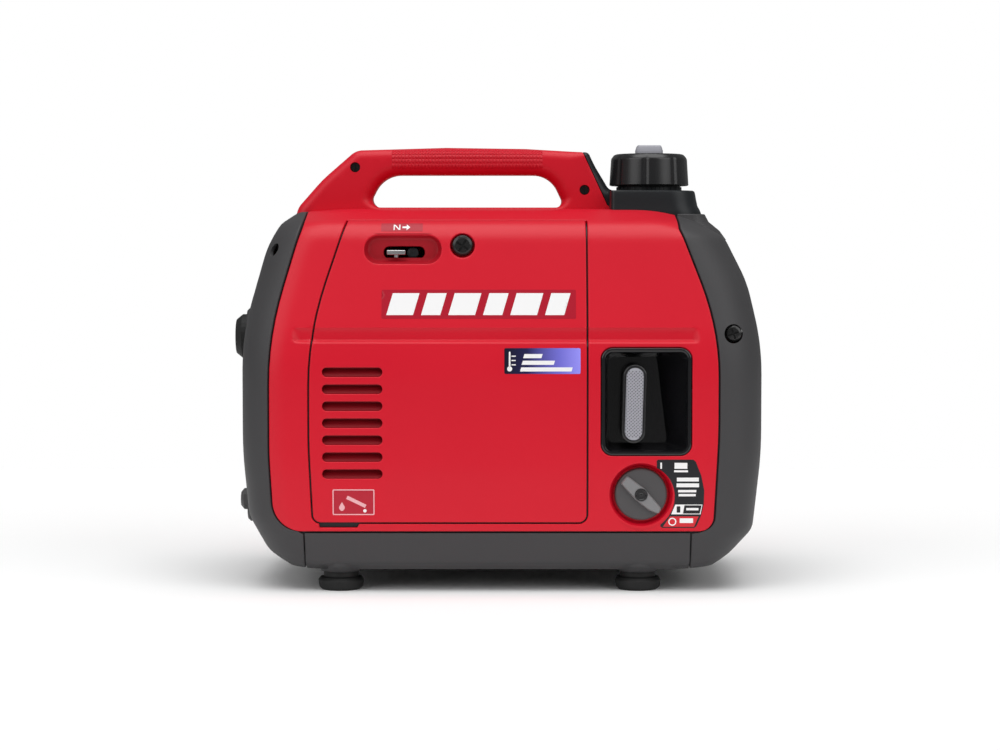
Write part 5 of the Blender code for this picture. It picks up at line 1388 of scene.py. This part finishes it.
class GENERATOR_OT_starter(bpy.types.Operator):
    """Makes the starter's deep bezel, the pull grip and its ribbed insert"""

    bl_idname = "generator.starter"
    bl_label = "Starter"

    def execute(self, context):
        outer = bezel_outline(-0.0002)
        place = facing((0, -HALF_WIDTH, 0))
        x, z = BEZEL_AT
        # the floor is narrower than the mouth, and its right wall leans
        lip = shifted(outer, 0.0052)
        across, up = lip[:, 0] - x, lip[:, 1] - z
        right = np.interp(up, (-0.0450, 0.0450), (0.0215, 0.0115))
        reach = np.where(across > 0, across * right / 0.0373, across * 0.93)
        floor = np.stack([x + reach, z + up * 0.90], axis=1)

        def ring(outline, depth):
            return [place @ Vector((u, v, -depth)) for u, v in outline]

        rings = [
            ring(shifted(outer, 0.0016), 0.0345), ring(shifted(outer, 0.0004), 0.0300), ring(outer, 0.0018),
            ring(shifted(outer, 0.0004), 0.0006), ring(shifted(outer, 0.0012), 0.0001),
            ring(shifted(outer, 0.0022), 0.0), ring(shifted(outer, 0.0036), 0.0005),
            ring(shifted(outer, 0.0046), 0.0022),
            ring(lip, 0.0050), ring(lip * 0.93 + floor * 0.07, 0.0066), ring(lip * 0.35 + floor * 0.65, 0.0230),
            ring(lip * 0.10 + floor * 0.90, 0.0305), ring(floor, 0.0328),
        ]
        loft("starter_recess", rings, "gloss", stands_for="starter_bezel")
        low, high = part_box("starter_grip")
        centre = (low + high) / 2
        face = low.y
        wide, tall = high.x - low.x, high.z - low.z
        lean = Matrix.Rotation(radians(-1.6), 4, "Z")
        grip_place = facing((centre.x, face, centre.z)) @ lean
        outline = stadium((0, 0), wide, tall, 0.98)
        steps = (
            (0.0012, -0.0195), (0, -0.0165), (0, -0.0016), (0.0004, -0.0005), (0.0012, 0), (0.0024, 0.0),
            (0.0029, -0.0007),
        )
        stack("grip_body", outline, grip_place, steps, "cap", body="starter_grip", stands_for="starter_grip")
        inset = shifted(outline, 0.0031)
        steps = (0, -0.0010), (0, -0.0002), (0.0006, 0.0004), (0.0014, 0.0005)
        stack("grip_insert", inset, grip_place, steps, "silver", body="starter_grip", stands_for="starter_grip_insert")
        raised = grip_place @ Matrix.Translation((0, 0, 0.00042))
        marks = studs("grip_marks", raised, wide - 0.0095, tall - 0.0130, 0.0031, 0.0013, 0.0003)
        dressed(marks, "dark_mark", "starter_grip", slot="light_grey")
        neck = softened([(0, -0.030, 0), (0.0045, -0.030, 0.001), (0.0075, -0.018, 0.002), (0, -0.016, 0)])
        lathe("grip_neck", neck, facing((centre.x, face, centre.z)), "cap", 32, body="starter_grip")
        # the rope's straight run, which pays out between the guide and the grip
        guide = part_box("starter_rope")[0].y
        run = np.linspace(guide + 0.0120, guide - 0.0030, 12)
        way = Vector((centre.x, 0, centre.z))
        section = circle((0, 0), ROPE_RADIUS, 20)
        rings = [[way + Vector((x, y, z)) for x, z in section] for y in run]
        rope = loft("starter_rope_run", rings, "rubber", body=None)
        rope.modifiers.clear()
        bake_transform(rope)
        return {"FINISHED"}


def studs(name, place, wide, tall, pitch, size, height):
    """Small marks in staggered rows over a rounded strip, as one mesh, by Geometry Nodes."""
    tree = bpy.data.node_groups.new(name, "GeometryNodeTree")
    tree.interface.new_socket("Geometry", in_out="OUTPUT", socket_type="NodeSocketGeometry")
    wanted = {"Width": wide, "Height": tall, "Pitch": pitch, "Mark": size, "Rise": height}
    for label in wanted:
        tree.interface.new_socket(label, in_out="INPUT", socket_type="NodeSocketFloat")
    nodes = Nodes(tree)
    given = tree.nodes.new("NodeGroupInput")
    size_of = {label: Sock(nodes, given.outputs[label]) for label in wanted}
    across = size_of["Width"] / size_of["Pitch"] + 1
    rows = size_of["Height"] / (size_of["Pitch"] * 0.5) + 1
    grid = nodes.add("GeometryNodeMeshGrid", None, size_of["Width"], size_of["Height"], across, rows)
    spot = nodes.add("GeometryNodeInputPosition")
    split = nodes.make("ShaderNodeSeparateXYZ", None, spot)
    level = (Sock(nodes, split.outputs[1]) + size_of["Height"] / 2) / (size_of["Pitch"] * 0.5)
    row = nodes.add("ShaderNodeMath", {"operation": "ROUND"}, level)
    odd = nodes.add("ShaderNodeMath", {"operation": "MODULO"}, row, 2.0)
    shift = nodes.add("ShaderNodeCombineXYZ", None, (odd - 0.5) * size_of["Pitch"] * 0.5)
    moved = nodes.add("GeometryNodeSetPosition", None, grid, Offset=shift)
    top, foot = size_of["Mark"] * 0.35, size_of["Mark"] * 0.62
    mark = nodes.add("GeometryNodeMeshCone", {"fill_type": "NGON"}, 4, 1, 1, top, foot, size_of["Rise"])
    copies = nodes.add("GeometryNodeInstanceOnPoints", None, moved, Instance=mark)
    solid = nodes.add("GeometryNodeRealizeInstances", None, copies)
    coloured = nodes.add("GeometryNodeSetMaterial", None, solid, Material=FINISHES["dark_mark"])
    out = tree.nodes.new("NodeGroupOutput")
    tree.links.new(coloured.socket, out.inputs[0])
    holder = bpy.data.objects.new(name, bpy.data.meshes.new(name))
    bpy.context.scene.collection.objects.link(holder)
    modifier = holder.modifiers.new("studs", "NODES")
    modifier.node_group = tree
    for item in tree.interface.items_tree:
        if item.in_out == "INPUT":
            modifier[item.identifier] = wanted[item.name]
    return settled(holder, place)


# ---------------------------------------------------------------- switch and choke
class GENERATOR_OT_switch(bpy.types.Operator):
    """Makes the round engine switch, its pointer and the dish it sits in"""

    bl_idname = "generator.switch"
    bl_label = "Engine switch"

    def execute(self, context):
        place = facing((SWITCH_AT[0], -HALF_WIDTH, SWITCH_AT[1]))
        dish = softened([
            (0, -0.0135, 0), (DISH_RADIUS + 0.0026, -0.0135, 0), (DISH_RADIUS + 0.0026, -0.0022, 0),
            (DISH_RADIUS + 0.0002, -0.0020, 0.0002),
            (DISH_RADIUS - 0.0014, -0.0070, 0.002), (DISH_RADIUS - 0.0030, -0.0108, 0.002), (0, -0.0108, 0),
        ], radians(12))
        lathe("switch_dish", dish, place, "red", 72)
        face = -0.0042
        disc = softened([
            (0, -0.0104, 0), (SWITCH_RADIUS + 0.0006, -0.0104, 0.0003), (SWITCH_RADIUS, face - 0.0009, 0.0010),
            (SWITCH_RADIUS - 0.0014, face, 0.0008), (0, face, 0),
        ], radians(15))
        lathe("switch_disc", disc, place, "knob", 72, body="engine_switch", stands_for="engine_switch_knob")
        outline = rounded([
            (-0.0187, 0.0104, 0.0018), (-0.0130, 0.0171, 0.0018), (0.0031, 0.0051, 0.014), (0.0186, -0.0130, 0.0020),
            (0.0166, -0.0182, 0.0026), (0.0077, -0.0147, 0.010), (-0.0045, -0.0050, 0.014),
        ], radians(10))
        steps = (
            (-0.0006, face - 0.0003), (-0.0004, face + 0.0004), (0.0002, -0.0016), (0.0007, -0.0010),
            (0.0016, -0.0008),
        )
        stack("switch_pointer", outline, place, steps, "pointer", body="engine_switch",
              stands_for="engine_switch_pointer")
        well = softened([
            (0, face, 0), (0.0060, face, 0), (0.0060, 0.0000, 0.0004), (0.0048, 0.0000, 0.0004),
            (0.0042, -0.0006, 0.0003), (0.0018, -0.0006, 0.0002), (0.0012, -0.0002, 0.0002), (0, -0.0002, 0),
        ])
        lathe("switch_screw", well, place, "gloss", 40, body="engine_switch", stands_for="engine_switch_screw")
        return {"FINISHED"}


class GENERATOR_OT_choke(bpy.types.Operator):
    """Makes the choke lever's bright tab and its dark stem"""

    bl_idname = "generator.choke"
    bl_label = "Choke lever"

    def execute(self, context):
        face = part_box("choke_lever")[0].y
        x, z = CHOKE_AT[0] - 0.0065, CHOKE_AT[1] - 0.0030
        place = facing((x, face, z))
        outline = box_outline((-0.0088, -0.0021), (0.0088, 0.0021), 0.0009)
        steps = (0.0003, -0.0030), (0, -0.0026), (0, -0.0004), (0.0004, 0)
        stack("choke_tab", outline, place, steps, "steel", body="choke", stands_for="choke_lever")
        stem = box_outline((-0.0019, -0.0048), (0.0019, 0.0010), 0.0004)
        steps = (0, -0.0180), (0, -0.0012), (0.0003, -0.0008)
        stack("choke_stem", stem, place, steps, "steel", body="choke")
        # the boss slides behind the recess's floor
        boss = softened([
            (0, -0.0060, 0), (0.0052, -0.0060, 0.0006), (0.0056, -0.0030, 0.0008), (0.0030, -0.0024, 0.0006),
            (0, -0.0030, 0),
        ])
        lathe("choke_boss", boss, facing((x + 0.0155, face + 0.0075, z - 0.0004)), "black", 40, body="choke")
        return {"FINISHED"}


# ---------------------------------------------------------------- screws
def screw_head(name, place, radius, slot_turn, body, stands_for, finish="screw"):
    """A domed head with a cross cut in it."""
    profile = softened([
        (0, -0.0042, 0), (radius, -0.0042, 0.0003), (radius, -0.0012, 0.0010), (radius * 0.72, -0.0001, 0.003),
        (0, 0.0004, 0),
    ], radians(12))
    head = lathe(name, profile, place, finish, 48, body=body, stands_for=stands_for)
    blade = place @ Matrix.Rotation(slot_turn, 4, "Z")
    bar = box_outline((-radius * 0.66, -radius * 0.10), (radius * 0.66, radius * 0.10))
    cross = box_outline((-radius * 0.10, -radius * 0.66), (radius * 0.10, radius * 0.66))
    return cut_away(head, cutter(bar, blade, -0.0020, 0.01), cutter(cross, blade, -0.00201, 0.01))


class GENERATOR_OT_screws(bpy.types.Operator):
    """Makes the heads of the case screws and of the maintenance cover's screw"""

    bl_idname = "generator.screws"
    bl_label = "Screws"

    def execute(self, context):
        place = facing((SCREW_AT[0], -wall_at(SCREW_AT[1]) + 0.0018, SCREW_AT[1]))
        screw_head("cover_screw_head", place, SCREW_RADIUS - 0.0006, radians(-32), "cover_screw",
                   "maintenance_cover_screw")
        for name, middle, out, radius in end_screws():
            place = towards(middle + out * (0.0012 if name.startswith("front") else 0.0026), out)
            screw_head(f"{name}_head", place, radius - 0.0011, radians(20), "case", name)
        return {"FINISHED"}


# ---------------------------------------------------------------- labels
FILM, PRINT, OVERPRINT, TOP_PRINT = 0.00012, 0.0002, 0.00028, 0.00034


def label(name, outline, finish, lift=FILM, body="case", holes=()):
    """A thin printed shape on the starter side, drawn in X and Z."""

    def unrolled(shape):
        shape = np.array(shape)
        return evenly(np.stack([shape[:, 0], Side.up(shape[:, 1])], axis=1), 0.003)

    cuts = [unrolled(hole) for hole in holes]
    return skin_panel(name, Side(-1).skin, 1, unrolled(outline), cuts, finish, 0.004, 0.00004, 0.0003, groove, (),
                      lift, 1, body=body)


def slanted(x, z, wide, tall, lean=0.0):
    """A bar from its lower left corner, leaning to the right as it rises."""
    return [(x, z), (x + wide, z), (x + wide + lean, z + tall), (x + lean, z + tall)]


class GENERATOR_OT_labels(bpy.types.Operator):
    """Makes the printed plates with plain symbols"""

    bl_idname = "generator.labels"
    bl_label = "Labels"

    def execute(self, context):
        self.cover_plates("maintenance_cover")
        self.switch_plate(*SWITCH_AT)
        return {"FINISHED"}

    def cover_plates(self, cover):
        # name plate: a row of plain slanted bars
        low, high = (-0.1070, 0.2577), (0.0750, 0.2847)
        label("name_plate", box_outline(low, high, 0.0012), "maroon_ink", body=cover)
        x = low[0] + 0.0045
        for k, wide in enumerate((0.0250, 0.0180) * 3):
            label(f"name_bar_{k + 1}", slanted(x, low[1] + 0.0034, wide, 0.0204, 0.006), "white_ink", PRINT, cover)
            x += wide + 0.0075
        # cold start plate: a gauge and three bars
        plate = box_outline((LABEL_X[0], 0.2065), (LABEL_X[1], 0.2305), 0.0014)
        label("climate_plate", plate, "violet_ink", body=cover)
        stem = box_outline((0.0121, 0.2125), (0.0137, 0.2272), 0.0008)
        label("climate_icon_stem", stem, "white_ink", PRINT, cover)
        label("climate_icon_bulb", circle((0.0129, 0.2112), 0.0024, 20), "white_ink", PRINT, cover)
        for k, z in enumerate((0.2145, 0.2185, 0.2225)):
            label(f"climate_icon_tick_{k + 1}", slanted(0.0146, z, 0.0040, 0.0010), "white_ink", PRINT, cover)
        for k, (start, wide) in enumerate(((0.0225, 0.0480), (0.0240, 0.0300), (0.0255, 0.0170))):
            bar = slanted(start, 0.2088 + k * 0.0062, wide, 0.0038, 0.0012)
            label(f"climate_bar_{k + 1}", bar, "white_ink", PRINT, cover)
        # outlined plate with a drop
        low, high = (-0.1527, 0.0742), (-0.1135, 0.0984)
        outer = box_outline(low, high, 0.0012)
        inner = box_outline((low[0] + 0.0010, low[1] + 0.0010), (high[0] - 0.0010, high[1] - 0.0010), 0.0008)
        label("service_plate", outer, "dark_red_ink", body=cover)
        label("service_plate_rim", outer, "pink_ink", PRINT, cover, holes=[inner])
        drop = (
            (-0.1440, 0.0865, 0.0001), (-0.1408, 0.0810, 0.0026), (-0.1440, 0.0768, 0.0026),
            (-0.1472, 0.0810, 0.0026),
        )
        spout = (-0.1400, 0.0895), (-0.1225, 0.0810), (-0.1210, 0.0838), (-0.1385, 0.0925)
        label("service_drop", rounded(drop, radians(12)), "pink_ink", PRINT, cover)
        label("service_spout", spout, "pink_ink", PRINT, cover)
        label("service_dot", circle((-0.1225, 0.0782), 0.0016, 20), "white_ink", PRINT, cover)
        # choke plate: an N and an arrow
        plate = box_outline((-0.1082, 0.3395), (-0.0690, 0.3470), 0.0006)
        label("choke_plate", plate, "maroon_ink", body=cover)
        symbol = (
            slanted(-0.0965, 0.3407, 0.0010, 0.0050), slanted(-0.0912, 0.3407, 0.0010, 0.0050),
            [(-0.0958, 0.3450), (-0.0918, 0.3408), (-0.0910, 0.3414), (-0.0950, 0.3457)],
            [
                (-0.0882, 0.3424), (-0.0842, 0.3424), (-0.0842, 0.3405), (-0.0808, 0.3432),
                (-0.0842, 0.3459), (-0.0842, 0.3440), (-0.0882, 0.3440),
            ],
        )
        for k, shape in enumerate(symbol):
            label(f"choke_symbol_{k + 1}", shape, "white_ink", PRINT, cover)

    def switch_plate(self, x, z):
        """A crescent beside the switch, with the running and the stopped mark, drawn from the switch's centre."""

        def placed(shape):
            return [(x + across, z + up) for across, up in shape]

        inner = []
        for degrees in np.linspace(-57, 60, 26):
            reach = float(np.interp(degrees, (-57, 60), (0.0334, 0.0292)))
            inner.append((reach * cos(radians(degrees)), reach * sin(radians(degrees))))
        outer = (
            (0.0143, 0.0318), (0.0155, 0.0331), (0.0486, 0.0331), (0.0510, 0.0310), (0.0561, 0.0181),
            (0.0590, 0.0040), (0.0586, -0.0090), (0.0560, -0.0200), (0.0520, -0.0295), (0.0500, -0.0312),
            (0.0200, -0.0312), (0.0182, -0.0300),
        )
        label("switch_plate", placed([*inner, *outer]), "label_black")
        label("switch_mark_on", slanted(x + 0.0178, z + 0.0245, 0.0015, 0.0058), "white_ink", PRINT)
        for k, (start, level, wide, tall) in enumerate((
            (0.0310, 0.0245, 0.0120, 0.0056), (0.0306, 0.0213, 0.0130, 0.0018), (0.0333, 0.0126, 0.0205, 0.0036),
            (0.0330, 0.0072, 0.0210, 0.0036), (0.0345, 0.0024, 0.0170, 0.0022), (0.0350, -0.0014, 0.0160, 0.0022),
        )):
            label(f"switch_bar_{k + 1}", slanted(x + start, z + level, wide, tall), "white_ink", PRINT)
        for name, shape, finish, lift in (
            ("pump_box", [(0.0282, -0.0184), (0.0556, -0.0184), (0.0574, -0.0092), (0.0320, -0.0092)],
             "white_ink", PRINT),
            ("pump_box_field", [(0.0392, -0.0177), (0.0549, -0.0177), (0.0566, -0.0099), (0.0406, -0.0099)],
             "label_black", OVERPRINT),
        ):
            label(name, placed(shape), finish, lift)
        icon = box_outline((x + 0.0333, z - 0.0168), (x + 0.0367, z - 0.0108), 0.0006)
        label("pump_icon", icon, "label_black", OVERPRINT)
        label("pump_bar", slanted(x + 0.0422, z - 0.0146, 0.0115, 0.0022), "white_ink", TOP_PRINT)
        field = placed([(0.0205, -0.0302), (0.0497, -0.0302), (0.0538, -0.0204), (0.0272, -0.0204)])
        label("off_field", field, "warning_red", PRINT)
        ring, hole = (circle((x + 0.0293, z - 0.0254), radius, 28) for radius in (0.0038, 0.0027))
        label("off_ring", ring, "white_ink", OVERPRINT, holes=[hole])
        label("off_bar", slanted(x + 0.0362, z - 0.0266, 0.0125, 0.0044), "white_ink", OVERPRINT)


# ---------------------------------------------------------------- control end and inner pieces
PLAIN_FINISHES = {
    "knob": "ground_terminal_nut",
    "black": "control_panel ac_outlet_left ac_outlet_right locking_outlet breaker_button parallel_socket_left "
    "parallel_socket_right fuel_tank starter_housing starter_reel air_cleaner",
    "rubber": "locking_outlet_cap fuel_cap_gasket starter_rope fuel_hose engine_mount_front engine_mount_rear",
    "silver": "eco_switch",
    "lens": "indicator_lens",
    "orange": "oil_filler_cap",
    "alloy": "crankcase engine_cylinder rocker_cover carburettor fuel_valve inverter_unit",
    "iron": "flywheel_rotor",
    "windings": "stator",
    "steel": "muffler exhaust_outlet crankshaft spark_plug",
    "screw": "handle_screw_front handle_screw_rear",
}


class GENERATOR_OT_inner_pieces(bpy.types.Operator):
    """Gives the control end's fittings and the pieces inside their materials"""

    bl_idname = "generator.inner_pieces"
    bl_label = "Fittings and inner pieces"

    def execute(self, context):
        for finish, names in PLAIN_FINISHES.items():
            for name in names.split():
                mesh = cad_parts[name].data
                mesh.materials.clear()
                mesh.materials.append(FINISHES[finish])
        return {"FINISHED"}


# ---------------------------------------------------------------- stage
def sun_light(name, height, round_from, power, spread):
    """A broad soft light from a direction: its height over the horizon and its bearing, in degrees."""
    lamp = bpy.data.lights.new(name, "SUN")
    lamp.energy = power
    lamp.angle = radians(spread)
    obj = bpy.data.objects.new(name, lamp)
    bpy.context.scene.collection.objects.link(obj)
    up, bearing = radians(height), radians(round_from)
    source = Vector((cos(up) * cos(bearing), cos(up) * sin(bearing), sin(up)))
    obj.rotation_euler = source.to_track_quat("Z", "Y").to_euler()
    return obj


FLOOR = 1.15
CAMERA_AT, CAMERA_AIM, CAMERA_LENS = (0.0039, -2.400, 0.323), (0.0039, 0, 0.198), 87.2


class GENERATOR_OT_stage(bpy.types.Operator):
    """Makes the pale floor, the soft studio light and the camera"""

    bl_idname = "generator.stage"
    bl_label = "Floor, light and camera"

    def execute(self, context):
        scene = context.scene
        chosen = scene.generator_finishes
        mesh = bpy.data.meshes.new("floor")
        corners = [(-FLOOR, -FLOOR, 0), (FLOOR, -FLOOR, 0), (FLOOR, FLOOR, 0), (-FLOOR, FLOOR, 0)]
        mesh.from_pydata(corners, [], [(0, 1, 2, 3)])
        floor = bpy.data.objects.new("floor", mesh)
        scene.collection.objects.link(floor)
        new_finish("floor", (0.93, 0.93, 0.93), 0.9)
        mesh.materials.append(FINISHES["floor"])
        world = bpy.data.worlds.new("studio")
        scene.world = world
        world.use_nodes = True
        nodes = Nodes(world.node_tree)
        path = nodes.add("ShaderNodeLightPath", output="Is Camera Ray")
        dim = nodes.add("ShaderNodeBackground", None, (1, 1, 1, 1), chosen.surroundings)
        white = nodes.add("ShaderNodeBackground", None, (1, 1, 1, 1), 1.0)
        both = nodes.add("ShaderNodeMixShader", None, path, dim, white)
        world.node_tree.links.new(both.socket, world.node_tree.nodes["World Output"].inputs[0])
        sun_light("overhead", 78, -90, chosen.key, 62)
        sun_light("left_box", 26, -138, chosen.fill, 44)
        sun_light("right_box", 26, -42, chosen.fill, 44)
        camera = bpy.data.cameras.new("camera")
        camera.lens = CAMERA_LENS
        camera.sensor_width = 36
        camera.clip_end = 50
        obj = bpy.data.objects.new("camera", camera)
        scene.collection.objects.link(obj)
        obj.location = CAMERA_AT
        look = Vector(CAMERA_AIM) - obj.location
        obj.rotation_euler = look.to_track_quat("-Z", "Y").to_euler()
        scene.camera = obj
        scene.view_settings.view_transform = "Standard"
        return {"FINISHED"}


OPERATORS = (
    GENERATOR_OT_stage, GENERATOR_OT_finishes, GENERATOR_OT_inner_pieces, GENERATOR_OT_side_panels,
    GENERATOR_OT_maintenance_cover, GENERATOR_OT_end_covers, GENERATOR_OT_under_cover, GENERATOR_OT_handle,
    GENERATOR_OT_filler_surround, GENERATOR_OT_fuel_cap, GENERATOR_OT_starter, GENERATOR_OT_switch,
    GENERATOR_OT_choke, GENERATOR_OT_screws, GENERATOR_OT_labels,
)


class GENERATOR_PT_pieces(bpy.types.Panel):
    """Lists the pieces"""

    bl_idname = "GENERATOR_PT_pieces"
    bl_label = "Generator"
    bl_space_type = "VIEW_3D"
    bl_region_type = "UI"
    bl_category = "Generator"

    def draw(self, context):
        layout = self.layout
        for group in (context.scene.generator_sizes, context.scene.generator_finishes):
            for key in group.bl_rna.properties.keys():
                if key not in ("rna_type", "name"):
                    layout.prop(group, key)
        for kind in OPERATORS:
            layout.operator(kind.bl_idname)


CLASSES = (CaseSizes, Finishes, *OPERATORS, GENERATOR_PT_pieces)


def register():
    for kind in CLASSES:
        bpy.utils.register_class(kind)
    bpy.types.Scene.generator_sizes = bpy.props.PointerProperty(type=CaseSizes)
    bpy.types.Scene.generator_finishes = bpy.props.PointerProperty(type=Finishes)


def unregister():
    del bpy.types.Scene.generator_sizes
    del bpy.types.Scene.generator_finishes
    for kind in reversed(CLASSES):
        bpy.utils.unregister_class(kind)


def main():
    register()
    for kind in OPERATORS:
        group, name = kind.bl_idname.split(".")
        getattr(getattr(bpy.ops, group), name)()


if __name__ == "__main__":
    main()
